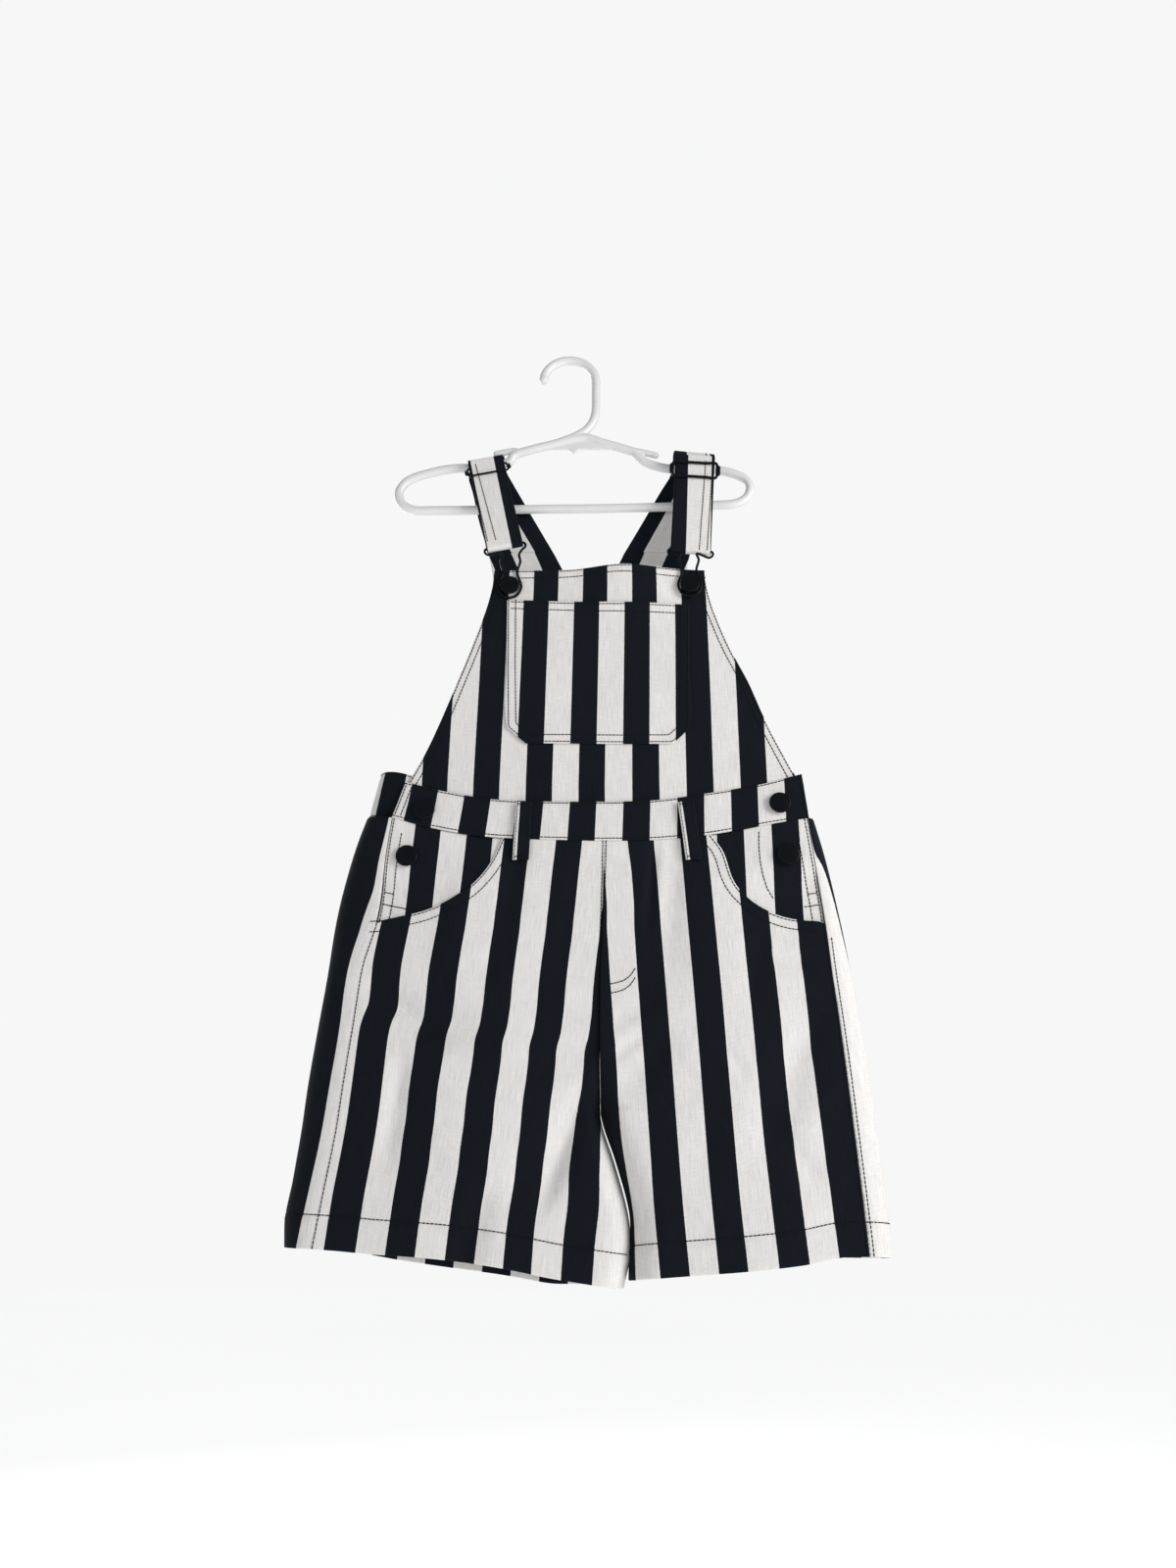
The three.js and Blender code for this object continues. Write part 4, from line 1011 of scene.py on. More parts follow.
def waistband_front():
    rows = rim_stops(1, 22, 0.035)
    grid = []
    for t in rows:
        left = lerp(*BAND_ENDS["left"], t)
        right = lerp(*BAND_ENDS["right"], t)
        row = []
        for stop in rim_stops(right - left, 130, RIM):
            x = left + stop
            z = lerp(BAND_TOP("z", x), WAIST_SEAM("z", x), t)
            row.append((x, band_at(x, z), z))
        grid.append(row)
    points = np.array(grid)
    cloth = cloth_by_x(points, STRIPES["band"], level=True)
    made = shell("band_front", points, (0, -1, 0), LAPPED, cloth, TWILL_LOOK, ("bottom",))
    dress(made, "waistband_front")
    return points, made


BAND_GRID, BAND_FRONT = waistband_front()

BACK_BAND_HEIGHT = Table(("x", "height"), [(-165, 41), (0, 40), (195, 35)])


def back_band_path(t):
    left, right = lerp(-158, -165.5, t), lerp(192.5, 196, t)
    sweep_front, sweep_rear = 24, 34

    def turn(tip, inward):
        path = []
        for k in range(QUARTER_STEPS + 1):
            angle = math.pi / 2 * k / QUARTER_STEPS
            x = tip + inward * sweep_front * (1 - math.sin(angle))
            path.append((x, -BACK_BAND_FRONT * math.cos(angle)))
        for k in range(1, QUARTER_STEPS + 1):
            angle = math.pi / 2 * k / QUARTER_STEPS
            x = tip + inward * sweep_rear * (1 - math.cos(angle))
            path.append((x, BACK_BAND_REAR * math.sin(angle)))
        return path

    start = [(lerp(-116, -120, t), -BACK_BAND_FRONT)]
    end = [(lerp(166, 170, t), -BACK_BAND_FRONT)]
    return start + turn(left, 1) + turn(right, -1)[::-1] + end


def back_band_bottom(x, y):
    share = clamp01((y + BACK_BAND_REAR) / (2 * BACK_BAND_REAR))
    return WAIST_SEAM("z", x) + BACK_RISE * share + SEAM_GAP


def waistband_back():
    rows = rim_stops(1, 20, 0.03)
    grid = []
    for t in rows:
        row = []
        for x, y in spread(back_band_path(t), 190, 0, RIM):
            bottom = back_band_bottom(x, y)
            z = lerp(bottom + BACK_BAND_HEIGHT("height", x), bottom, t)
            row.append((x, y, z))
        grid.append(row)
    points = np.array(grid)
    relief = np.array([[-0.28 * sewn_in(t) - 0.5 * ripple(p[0], p[2] + p[1], 40, 9.1) for p in points[i]]
                       for i, t in enumerate(rows)])
    points = raise_grid(points, (0, 1, 0), relief)
    middle = len(rows) // 2
    lengths = along_rows(points)
    u = np.tile(lengths[middle] + 2.6, (len(rows), 1))
    cloth = np.stack([u, along_columns(points)], axis=2)
    made = shell("band_back", points, (0, 1, 0), LAPPED, cloth, TWILL_LOOK, ("bottom",))
    dress(made, "waistband_back")
    return points, made


BACK_BAND_GRID, BAND_BACK = waistband_back()

# Bib and its pocket
BIB_SIDES = Table(("drop", "left", "right"), [
    (0, -68, 116.5), (18, -69.8, 118.5), (40, -75, 123.5), (75, -86, 135.5),
    (106, -96.6, 148.5), (140, -108, 160), (170, -119, 171.5), (200, -132, 183),
])


def bib_form(x, z):
    t = clamp01((BIB_TOP - z) / BIB_LENGTH)
    wave = BIB_WAVE["depth"] * math.exp(-(((x - BIB_WAVE["x"]) / BIB_WAVE["width"]) ** 2))
    fade = 1 - smoothstep(0, BIB_WAVE["fades"], t)
    return -lerp(BIB_FRONT_TOP, BIB_FRONT_BOTTOM, t) - wave * fade


def bib_depth(x, z):
    """Outside of the bib, with its hem, its soft creases and its unevenness"""
    below = BIB_TOP - z
    hem = -0.45 * (1 - smoothstep(6.8, 8.6, below)) + 0.3 * math.exp(-(((below - 7.7) / 1.2) ** 2))
    soft = 0.9 * ripple(x, z, 42, 2.2) + 0.3 * ripple(x, z, 15, 6.1)
    return bib_form(x, z) + hem + soft * smoothstep(-2, 14, below)


def bib_front():
    rows = rim_stops(BIB_LENGTH, 84, RIM)
    grid = []
    for stop in rows:
        t = stop / BIB_LENGTH
        left, right = BIB_SIDES("left", stop), BIB_SIDES("right", stop)
        row = []
        for at in rim_stops(right - left, 100, RIM):
            x = left + at
            rise = BIB_RISE["height"] * math.exp(-(((x - BIB_RISE["x"]) / BIB_RISE["width"]) ** 2))
            z = lerp(BIB_TOP + rise, BAND_TOP("z", x) + SEAM_GAP, t)
            row.append((x, bib_depth(x, z), z))
        grid.append(row)
    points = np.array(grid)
    cloth = cloth_by_x(points, STRIPES["bib"])
    made = shell("bib", points, (0, -1, 0), TWILL, cloth, TWILL_LOOK, ("bottom",))
    dress(made, "bib_front")
    return points, made


BIB_GRID, BIB = bib_front()

POCKET_SIDES = Table(("drop", "left", "right"), [
    (0, -56, 102), (60, -55, 100), (118, -53, 98), (132, -37, 84),
])
POCKET_TOP = {"left": -269, "right": -274}
POCKET_BOTTOM = -405
POCKET_DROP = 132


def pocket_top(x):
    return lerp(POCKET_TOP["left"], POCKET_TOP["right"], clamp01((x + 56) / 158))


def pocket_depth(x, z):
    below = pocket_top(x) - z
    hem = -0.35 * (1 - smoothstep(8.6, 10.4, below)) + 0.25 * math.exp(-(((below - 9.6) / 1.2) ** 2))
    return bib_depth(x, z) - POCKET_LIFT + hem


def bib_pocket():
    stops = list(rim_stops(118, 50, RIM))[:-3] + list(np.linspace(118, 131, 8)) + [131.5, 131.9, 132]
    grid = []
    for drop in stops:
        left, right = POCKET_SIDES("left", drop), POCKET_SIDES("right", drop)
        if drop > 118:
            share = (drop - 118) / 14
            left, right = lerp(-53, -37, share), lerp(98, 84, share)
        row = []
        for at in rim_stops(right - left, 70, RIM):
            x = left + at
            top = lerp(POCKET_TOP["left"], POCKET_TOP["right"], at / (right - left))
            z = lerp(top, POCKET_BOTTOM, drop / POCKET_DROP)
            row.append((x, pocket_depth(x, z), z))
        grid.append(row)
    points = np.array(grid)
    cloth = cloth_by_x(points, STRIPES["pocket"])
    made = shell("pocket", points, (0, -1, 0), TWILL, cloth, TWILL_LOOK)
    dress(made, "bib_pocket")
    return points, made


POCKET_GRID, POCKET = bib_pocket()

# Back bib
BACK_BIB_SIDES = Table(("z", "left", "right"), [
    (-440, -130, 179), (-387, -110, 158), (-342, -92, 136), (-281, -71, 112), (-250, -69, 105),
    (-219, -73, 104), (-204, -77, 107),
])
BACK_BIB_LENGTH = 232


def back_bib_depth(x, z):
    t = clamp01((STRAP_SEAM - z) / 220)
    soft = 0.7 * ripple(x, z, 45, 12.5) + 0.2 * ripple(x, z, 16, 8.8)
    return lerp(BACK_BIB_TOP_Y, BACK_BIB_BOTTOM_Y, t) + soft * smoothstep(-204, -225, z)


def back_bib():
    """Two halves, each from a side to the V of the neck and then to the middle"""
    top = STRAP_SEAM - SEAM_GAP
    levels = list(rim_stops(BACK_BIB_LENGTH, 96, RIM))
    made = []
    for side in (-1, 1):
        grid = []
        for stop in levels:
            t = stop / BACK_BIB_LENGTH
            row = []
            level = lerp(top, -436, t)
            outer = BACK_BIB_SIDES("left" if side < 0 else "right", level)
            neck_edge = NECK["left"] if side < 0 else NECK["right"]
            inner = NECK["x"]
            if level > NECK["bottom"]:
                inner = lerp(NECK["x"], neck_edge, (level - NECK["bottom"]) / (NECK["top"] - NECK["bottom"]))
            for at in rim_stops(abs(outer - inner), 60, RIM):
                x = inner + side * at
                seam = back_band_bottom(x, BACK_BAND_REAR) + BACK_BAND_HEIGHT("height", x) + SEAM_GAP
                z = lerp(top, seam, t)
                row.append((x, back_bib_depth(x, z), z))
            grid.append(row)
        made.append(np.array(grid))
    return made


def lean_shift(z):
    """How far the stripes of a shoulder have leaned outward at a height"""
    levels = np.linspace(-300, max(z, -300), 40)
    slopes = [0.42 * smoothstep(-300, -205, level) for level in levels]
    return float(np.sum(slopes) * (levels[1] - levels[0]))


LEAN = Table(("z", "shift"), [(z, lean_shift(z)) for z in range(-308, -196, 8)])


BACK_BIB_HALVES = back_bib()


def build_back_bib():
    vertices, faces, uvs = [], [], []
    for side, points in zip((-1, 1), BACK_BIB_HALVES):
        shift = np.array([[LEAN("shift", p[2]) for p in row] for row in points])
        start = 3.0 + np.array([[(4.3 if side < 0 else -0.8) * smoothstep(-300, -220, p[2]) for p in row]
                                for row in points])
        u = points[..., 0] - side * shift * np.clip(np.abs(points[..., 0] - NECK["x"]) / 10, 0, 1) - start
        cloth = np.stack([u, along_columns(points)], axis=2)
        piece = shell(f"half{side}", points, (0, 1, 0), TWILL, cloth, TWILL_LOOK, ("top", "bottom"))
        base = len(vertices)
        vertices += [tuple(v.co) for v in piece.data.vertices]
        layer = piece.data.uv_layers[0].data
        per_vertex = {}
        for loop in piece.data.loops:
            per_vertex[loop.vertex_index] = tuple(layer[loop.index].uv)
        uvs += [per_vertex[k] for k in range(len(piece.data.vertices))]
        faces += [tuple(base + k for k in polygon.vertices) for polygon in piece.data.polygons]
        bpy.data.objects.remove(piece)
    made = make_object("shoulders", vertices, faces, uvs, TWILL_LOOK)
    dress(made, "back_bib")
    return made


BACK_BIB = build_back_bib()

# Straps
STRAPS = {
    "left": {
        "back": Table(("share", "x", "y", "z", "width", "tilt"), [
            (0, -47, BACK_BIB_TOP_Y, STRAP_SEAM, 59, 0), (0.4, -61, 8.6, -170, 50, 2),
            (0.75, -71.5, 7.8, -142, 41, 5), (1, -79, 6.8, -124, 36, 10),
        ]),
        "loop": {"x": -80.2, "y": 0, "z": -116.6, "radius": 6.5, "width": 34, "tilt": 11},
        "fold": (-59, -216.3),
        "width": 32.5,
        "outer_end": -1,
        "inner_side": 1,
        "phase": Table(("share", "edge"), [
            (0, 38), (0.2, 37), (0.28, 31), (0.34, 29.9), (0.5, 31.6), (0.69, 31.6), (1, 30.2),
        ]),
    },
    "right": {
        "back": Table(("share", "x", "y", "z", "width", "tilt"), [
            (0, 77, BACK_BIB_TOP_Y, STRAP_SEAM, 59, 0), (0.4, 91, 8.6, -170, 50, -1),
            (0.75, 102, 7.6, -142, 42, -3), (1, 109, 6.8, -128, 38.5, -7),
        ]),
        "loop": {"x": 112, "y": -4.4, "z": -118.4, "radius": 10.9, "width": 38, "tilt": -7.5},
        "fold": (104.5, -221),
        "width": 35.5,
        "outer_end": 1,
        "inner_side": -1,
        "phase": Table(("share", "edge"), [
            (0, 16.8), (0.2, 14.5), (0.28, 11), (0.36, 10.8), (0.5, 13.3), (0.69, 13.3), (1, 11.2),
        ]),
    },
}


def strap_frame(strap):
    loop, fold = strap["loop"], strap["fold"]
    length = math.hypot(fold[0] - loop["x"], fold[1] - loop["z"])
    down = np.array([(fold[0] - loop["x"]) / length, 0, (fold[1] - loop["z"]) / length])
    across = np.array([-down[2], 0, down[0]])
    return {"down": down, "across": across, "start": np.array([loop["x"], 0, loop["z"]], float),
            "bar": length - BAR_TO_FOLD}


def inner_layer(strap, frame, p):
    loop = strap["loop"]
    return lerp(loop["y"] - loop["radius"], BAR_Y + STRAP_LAYERS / 2, clamp01(p / frame["bar"]))


def strap_stations(strap):
    frame = strap_frame(strap)
    loop = strap["loop"]
    stations = []

    def across_at(degrees):
        angle = math.radians(degrees)
        return np.array([math.cos(angle), 0, math.sin(angle)])

    def along_front(p, y):
        place = frame["start"] + frame["down"] * p
        place[1] = y
        return place

    for share in np.linspace(0, 0.985, 40):
        def at(name):
            return strap["back"](name, share)
        stations.append((np.array([at("x"), at("y"), at("z")]), across_at(at("tilt")), at("width")))
    for k in range(25):
        angle = math.pi * k / 24
        y = loop["y"] + loop["radius"] * math.cos(angle)
        z = loop["z"] + loop["radius"] * math.sin(angle)
        blend = smoothstep(0.3, 1, k / 24) * 0.5
        across = lerp(across_at(loop["tilt"]), frame["across"], blend)
        stations.append((np.array([loop["x"], y, z]), across / np.linalg.norm(across),
                         lerp(loop["width"], strap["width"], blend)))
    for share in np.linspace(0.06, 0.97, 30):
        p = share * frame["bar"]
        narrowing = lerp(lerp(loop["width"], strap["width"], 0.5), strap["width"], share / 0.12)
        stations.append((along_front(p, inner_layer(strap, frame, p)), frame["across"],
                         strap["width"] if share > 0.12 else narrowing))
    for k in range(17):
        angle = math.pi * k / 16
        y = BAR_Y + STRAP_LAYERS / 2 * math.cos(angle)
        p = frame["bar"] + STRAP_LAYERS / 2 * math.sin(angle)
        stations.append((along_front(p, y), frame["across"], strap["width"]))
    for share in np.linspace(0.97, strap["outer_end"] / frame["bar"], 36):
        p = share * frame["bar"]
        stations.append((along_front(p, inner_layer(strap, frame, p) - STRAP_LAYERS), frame["across"],
                         strap["width"]))
    return frame, stations


def build_strap(name):
    strap = STRAPS[name]
    frame, stations = strap_stations(strap)
    centres = np.array([s[0] for s in stations])
    lengths = np.concatenate([[0], np.cumsum(np.linalg.norm(np.diff(centres, axis=0), axis=1))])
    total = lengths[-1]
    rims = [0, 0.13, 0.55, 1.1, total - 1.1, total - 0.55, total - 0.13, total]
    extra = sorted(set(rims + list(lengths[2:-2])))
    keep = [extra[0]]
    for stop in extra[1:]:
        if stop - keep[-1] > 0.1:
            keep.append(stop)
    grid, us, vs = [], [], []
    across_all = np.array([s[1] for s in stations])
    widths = np.array([s[2] for s in stations])
    for stop in keep:
        centre = np.array([np.interp(stop, lengths, centres[:, k]) for k in range(3)])
        across = np.array([np.interp(stop, lengths, across_all[:, k]) for k in range(3)])
        across /= np.linalg.norm(across)
        width = float(np.interp(stop, lengths, widths))
        offsets = rim_stops(width, 26, RIM) - width / 2
        grid.append([centre + across * c for c in offsets])
        edge = strap["phase"]("edge", stop / total)
        inner = strap["inner_side"]
        if inner > 0:
            us.append([edge - (width / 2 - c) for c in offsets])
        else:
            us.append([(c + width / 2) - edge for c in offsets])
        vs.append([stop] * len(offsets))
    points = np.array(grid)
    normals = grid_normals(points, (0, 0, 1))
    facing = normals[points.shape[0] // 2, points.shape[1] // 2]
    if normals[2, points.shape[1] // 2][1] < 0:
        facing = -facing
    cloth = np.stack([np.array(us), np.array(vs)], axis=2)
    made = shell(f"strap_cloth_{name}", points, facing, STRAP_THICKNESS, cloth, TWILL_LOOK)
    dress(made, f"strap_{name}")
    STRAP_GRIDS[name] = (points, facing)
    return frame, made, total


STRAP_GRIDS = {}
STRAP_PIECES = {side: build_strap(side) for side in STRAPS}

# Belt loops
BELT_LOOPS = {"left": (-37, -39), "right": (92.5, 97.5)}
LOOP_WIDTH = 13
LOOP_LENGTH = 49
LOOP_TOP = -457.5
LOOP_WHITE = 3.2


def belt_loop(name):
    leg = LEGS[name]
    top, bottom = BELT_LOOPS[name]
    grid = []
    for stop in rim_stops(LOOP_LENGTH, 40, RIM):
        t = stop / LOOP_LENGTH
        z = lerp(LOOP_TOP, LOOP_TOP - LOOP_LENGTH, t)
        x = lerp(top, bottom, t)
        edges = (x - LOOP_WIDTH / 2, x + LOOP_WIDTH / 2)
        under = min(min(-lerp(BAND_FRONT_TOP, BAND_FRONT_BOTTOM, band_down(edge, z)), front_at(leg, edge, z))
                    for edge in edges)
        y = under - LAID_GAP - STRAP_THICKNESS - 1.4 * math.sin(math.pi * t)
        grid.append([(x + c - LOOP_WIDTH / 2, y - 0.35 * math.sin(math.pi * c / LOOP_WIDTH), z)
                     for c in rim_stops(LOOP_WIDTH, 12, RIM)])
    points = np.array(grid)
    u = points[..., 0] - points[:, :1, 0] - LOOP_WHITE + STRIPE
    cloth = np.stack([u, along_columns(points)], axis=2)
    made = shell(f"loop_{name}", points, (0, -1, 0), STRAP_THICKNESS, cloth, TWILL_LOOK)
    dress(made, f"belt_loop_{name}")
    return points, made


LOOPS = {side: belt_loop(side) for side in BELT_LOOPS}


# Seams
SEW_EDGE = 1.5
SEW_SECOND = 7.6
FLY_CURVE = [(31, -612), (36, -611), (41, -609.5), (46, -606), (50, -600)]
FACING_CURVE = [(150.3, -482), (149.6, -495), (149.8, -506), (151.2, -518), (154, -529), (158.5, -537.5)]
# Short tacks across a placket: the share of its height, and how far each reaches
TACKS = {"left": ((0.59, 9.2), (0.67, 24)), "right": ((0.59, 9.2), (0.67, 13.5))}


def beside_line(line, distance, side):
    """A line moved toward the middle of its leg"""
    a = resample(line, 2.5)
    along = np.gradient(a, axis=0)
    along /= np.linalg.norm(along, axis=1, keepdims=True)
    inward = np.stack([along[:, 1], -along[:, 0]], axis=1) * side
    return a + inward * distance


def sew_legs():
    for side, leg in LEGS.items():
        rows, front, back, _, _ = LEG_GRIDS[side]
        face, rear = Surface(front, (0, -1, 0)), Surface(back, (0, 1, 0))
        mouth_share = MOUTH_END * 1.12
        thread = Sewing(f"thread_front_{side}")
        mouth = [front[i, -1, [0, 2]] for i, down in enumerate(rows) if down <= MOUTH_END]
        for distance in (SEW_EDGE, 8.2):
            thread.route(face, beside_line(mouth, distance, leg["side"]))
        thread.beside(face, "last", 1.3, mouth_share + 0.01, 1.0)
        thread.beside(face, "bottom", HEM, 0.04, 1.0)
        thread.beside(face, "first", 1.3, 0.0, 0.6)
        if side == "right":
            for lift in (0, 7):
                thread.route(face, [(x, z + lift) for x, z in FLY_CURVE], pitch=2.6, fill=0.95)
        else:
            for z in (-556, -564.4):
                thread.route(face, [(-154.2, z), (-145.2, z + 0.6)], pitch=2.4, fill=0.95)
        thread.build()
        thread = Sewing(f"thread_back_{side}")
        thread.beside(rear, "bottom", HEM, 0.0, 0.93)
        thread.beside(rear, "last", 1.3, 0.0, 0.6)
        thread.beside(rear, "last", SEW_SECOND, 0.0, 0.55)
        if side == "right":
            thread.beside(rear, "first", 3.0, 0.3, 1.0)
        thread.build()

        panel = Surface(FACINGS[side][0], (0, -1, 0))
        thread = Sewing(f"thread_facing_{side}")
        thread.beside(panel, "last", 1.6, 0.0, 0.84)
        thread.beside(panel, "last", (9.4, 8.6), 0.1, 0.84)
        if side == "right":
            thread.route(panel, FACING_CURVE)
        for share, reach in TACKS[side]:
            points, normals = panel.beside("last", 1.6)
            inner, inner_normals = panel.beside("last", reach)
            k = int(share * (len(points) - 1))
            thread.line([points[k], inner[k]], [normals[k], inner_normals[k]], pitch=2.4, fill=0.95)
        thread.build()


def sew_band_and_loops():
    face, rear = Surface(BAND_GRID, (0, -1, 0)), Surface(BACK_BAND_GRID, (0, 1, 0))
    thread = Sewing("thread_band_front")
    thread.beside(face, "top", SEW_EDGE)
    thread.beside(face, "bottom", SEW_EDGE)
    thread.beside(face, "first", 1.8, 0.04, 0.96)
    thread.beside(face, "first", 6.5, 0.04, 0.96)
    thread.beside(face, "last", 1.8, 0.04, 0.96)
    thread.build()
    thread = Sewing("thread_band_back")
    thread.beside(rear, "top", SEW_EDGE)
    thread.beside(rear, "bottom", SEW_EDGE)
    thread.build()
    for side in BELT_LOOPS:
        strip = Surface(LOOPS[side][0], (0, -1, 0))
        thread = Sewing(f"thread_loop_{side}", 0.28)
        thread.beside(strip, "first", 1.4)
        thread.beside(strip, "last", 1.4)
        for edge in ("top", "bottom"):
            thread.beside(strip, edge, 2.0, 0.08, 0.92, pitch=1.6, fill=0.95)
            thread.beside(strip, edge, 2.9, 0.08, 0.92, pitch=1.6, fill=0.95)
        thread.build()


def sew_bib():
    face = Surface(BIB_GRID, (0, -1, 0))
    thread = Sewing("thread_bib")
    for distance in (SEW_EDGE, 7.7):
        thread.beside(face, "top", distance)
    for edge in ("first", "last"):
        thread.beside(face, edge, SEW_EDGE, 0.01, 1.0)
        thread.beside(face, edge, 6.6, 0.035, 1.0)
    thread.build()
    patch = Surface(POCKET_GRID, (0, -1, 0))
    thread = Sewing("thread_pocket")
    for distance in (2.2, 8.8):
        thread.beside(patch, "top", distance, 0.01, 0.99)
    for inset in (1.5, 7.6):
        thread.route(patch, pocket_route(inset))
    thread.build()
    for half, points in zip(("left", "right"), BACK_BIB_HALVES):
        rear = Surface(points, (0, 1, 0))
        thread = Sewing(f"thread_shoulder_{half}")
        thread.beside(rear, "last", SEW_EDGE, 0.01, 1.0)
        thread.beside(rear, "last", 6.6, 0.01, 1.0)
        thread.beside(rear, "first", SEW_EDGE, 0.0, 0.32)
        thread.beside(rear, "first", 6.6, 0.0, 0.28)
        thread.beside(rear, "top", 1.6, 0.03, 0.97)
        thread.build()


def pocket_route(inset):
    """The pocket's outline from one top corner round to the other, moved inward"""
    def corner(drop, left):
        x = POCKET_SIDES("left" if left else "right", drop)
        return x, lerp(pocket_top(x), POCKET_BOTTOM, drop / POCKET_DROP)

    drops = (0, 60, 118, 132)
    a = np.array([corner(drop, True) for drop in drops] + [corner(drop, False) for drop in reversed(drops)])
    edges = np.diff(a, axis=0)
    edges /= np.linalg.norm(edges, axis=1, keepdims=True)
    inward = np.stack([-edges[:, 1], edges[:, 0]], axis=1)
    route = [a[0] + inward[0] * inset]
    for k in range(1, len(a) - 1):
        bisector = inward[k - 1] + inward[k]
        bisector /= np.dot(bisector, inward[k])
        route.append(a[k] + bisector * inset)
    route.append(a[-1] + inward[-1] * inset)
    return route


def sew_straps():
    for side, (grid, facing) in STRAP_GRIDS.items():
        face, folded = Surface(grid, facing), Surface(grid, facing)
        folded.points = folded.points - folded.normals * STRAP_THICKNESS
        folded.normals = -folded.normals
        outer, inner = ("first", "last") if side == "left" else ("last", "first")
        thread = Sewing(f"thread_strap_{side}")
        near, far = ((2.4, 0.9), (9.8, 6.2)) if side == "left" else ((3.4, 1.6), (10.4, 8.0))
        thread.beside(folded, outer, near, 0.69, 0.995)
        thread.beside(folded, outer, far, 0.69, 0.995)
        thread.beside(folded, inner, 1.5, 0.69, 0.995)
        top = (6.6, 6.2) if side == "left" else (7.6, 8.0)
        thread.beside(face, outer, top, 0.02, 0.37)
        thread.beside(face, outer, 1.3, 0.02, 0.3)
        thread.beside(face, inner, 1.5, 0.02, 0.3)
        thread.beside(face, inner, 8.0, 0.02, 0.22)
        thread.build()


sew_legs()
sew_band_and_loops()
sew_bib()
sew_straps()

# Wire, buttons, hanger
def catmull(points, closed, steps):
    """Centripetal curve through the points, in even steps of its length"""
    p = [np.asarray(q, float) for q in points]
    n = len(p)
    dense = []
    for i in range(n if closed else n - 1):
        p1, p2 = p[i], p[(i + 1) % n]
        p0 = p[i - 1] if closed or i > 0 else 2 * p[0] - p[1]
        p3 = p[(i + 2) % n] if closed or i + 2 < n else 2 * p[-1] - p[-2]
        d0, d1, d2 = (math.sqrt(np.linalg.norm(b - a)) for a, b in ((p0, p1), (p1, p2), (p2, p3)))
        t1 = ((p1 - p0) / d0 - (p2 - p0) / (d0 + d1) + (p2 - p1) / d1) * d1
        t2 = ((p2 - p1) / d1 - (p3 - p1) / (d1 + d2) + (p3 - p2) / d2) * d1
        for t in np.linspace(0, 1, 24, endpoint=False):
            dense.append(p1 + t1 * t + (-3 * p1 + 3 * p2 - 2 * t1 - t2) * t * t
                         + (2 * p1 - 2 * p2 + t1 + t2) * t ** 3)
    dense.append(p[0] if closed else p[-1])
    dense = np.array(dense)
    lengths = np.concatenate([[0], np.cumsum(np.linalg.norm(np.diff(dense, axis=0), axis=1))])
    stops = np.linspace(0, lengths[-1], steps + 1)
    return np.stack([np.interp(stops, lengths, dense[:, k]) for k in range(3)], axis=1)


def tube(line, radius, sides, closed, ends=None):
    """Vertices and faces of a round tube along a line. ends shrink an open tube's tips."""
    line = line[:-1] if closed else line
    count = len(line)
    if closed:
        tangents = np.roll(line, -1, axis=0) - np.roll(line, 1, axis=0)
    else:
        tangents = np.gradient(line, axis=0)
    tangents /= np.linalg.norm(tangents, axis=1, keepdims=True)
    start = np.array([0.0, 1.0, 0.0]) if abs(tangents[0][1]) < 0.9 else np.array([1.0, 0, 0])
    normal = start - tangents[0] * np.dot(start, tangents[0])
    normal /= np.linalg.norm(normal)
    normals = [normal]
    for k in range(1, count):
        normal = normals[-1] - tangents[k] * np.dot(normals[-1], tangents[k])
        normals.append(normal / np.linalg.norm(normal))
    twist = 0.0
    if closed:
        back = normals[-1] - tangents[0] * np.dot(normals[-1], tangents[0])
        back /= np.linalg.norm(back)
        binormal = np.cross(tangents[0], back)
        twist = math.atan2(np.dot(normals[0], binormal), np.dot(normals[0], back))
    vertices, faces = [], []
    for k in range(count):
        binormal = np.cross(tangents[k], normals[k])
        size = radius if ends is None else radius * ends(k / (count - 1))
        for s in range(sides):
            angle = 2 * math.pi * s / sides + twist * k / count
            vertices.append(line[k] + (normals[k] * math.cos(angle) + binormal * math.sin(angle)) * size)
    for k in range(count if closed else count - 1):
        for s in range(sides):
            a, b = k * sides + s, k * sides + (s + 1) % sides
            c, e = ((k + 1) % count) * sides + (s + 1) % sides, ((k + 1) % count) * sides + s
            faces.append((a, b, c, e))
    if not closed:
        faces.append(tuple(reversed(range(sides))))
        faces.append(tuple(range((count - 1) * sides, count * sides)))
    return vertices, faces


def merged(parts):
    vertices, faces = [], []
    for some_vertices, some_faces in parts:
        base = len(vertices)
        vertices += list(some_vertices)
        faces += [tuple(base + k for k in face) for face in some_faces]
    return np.array(vertices) * MM, faces


def foremost(depth_at, x, z, radius):
    return min(depth_at(x + radius * math.cos(k * math.pi / 4), z + radius * math.sin(k * math.pi / 4))
               for k in range(8))


def lathe(x, y, z, profile, sides=56):
    vertices, faces = [], []
    for radius, height in profile:
        if radius == 0:
            vertices.append((x, y - height, z))
            continue
        for k in range(sides):
            angle = 2 * math.pi * k / sides
            vertices.append((x + radius * math.cos(angle), y - height, z + radius * math.sin(angle)))
    rings = len(profile) - 2
    for k in range(sides):
        n = (k + 1) % sides
        faces.append((0, 1 + k, 1 + n))
        for ring in range(rings - 1):
            a, b = 1 + ring * sides + k, 1 + ring * sides + n
            faces.append((a, a + sides, b + sides, b))
        last = 1 + (rings - 1) * sides
        faces.append((last + k, len(vertices) - 1, last + n))
    return vertices, faces


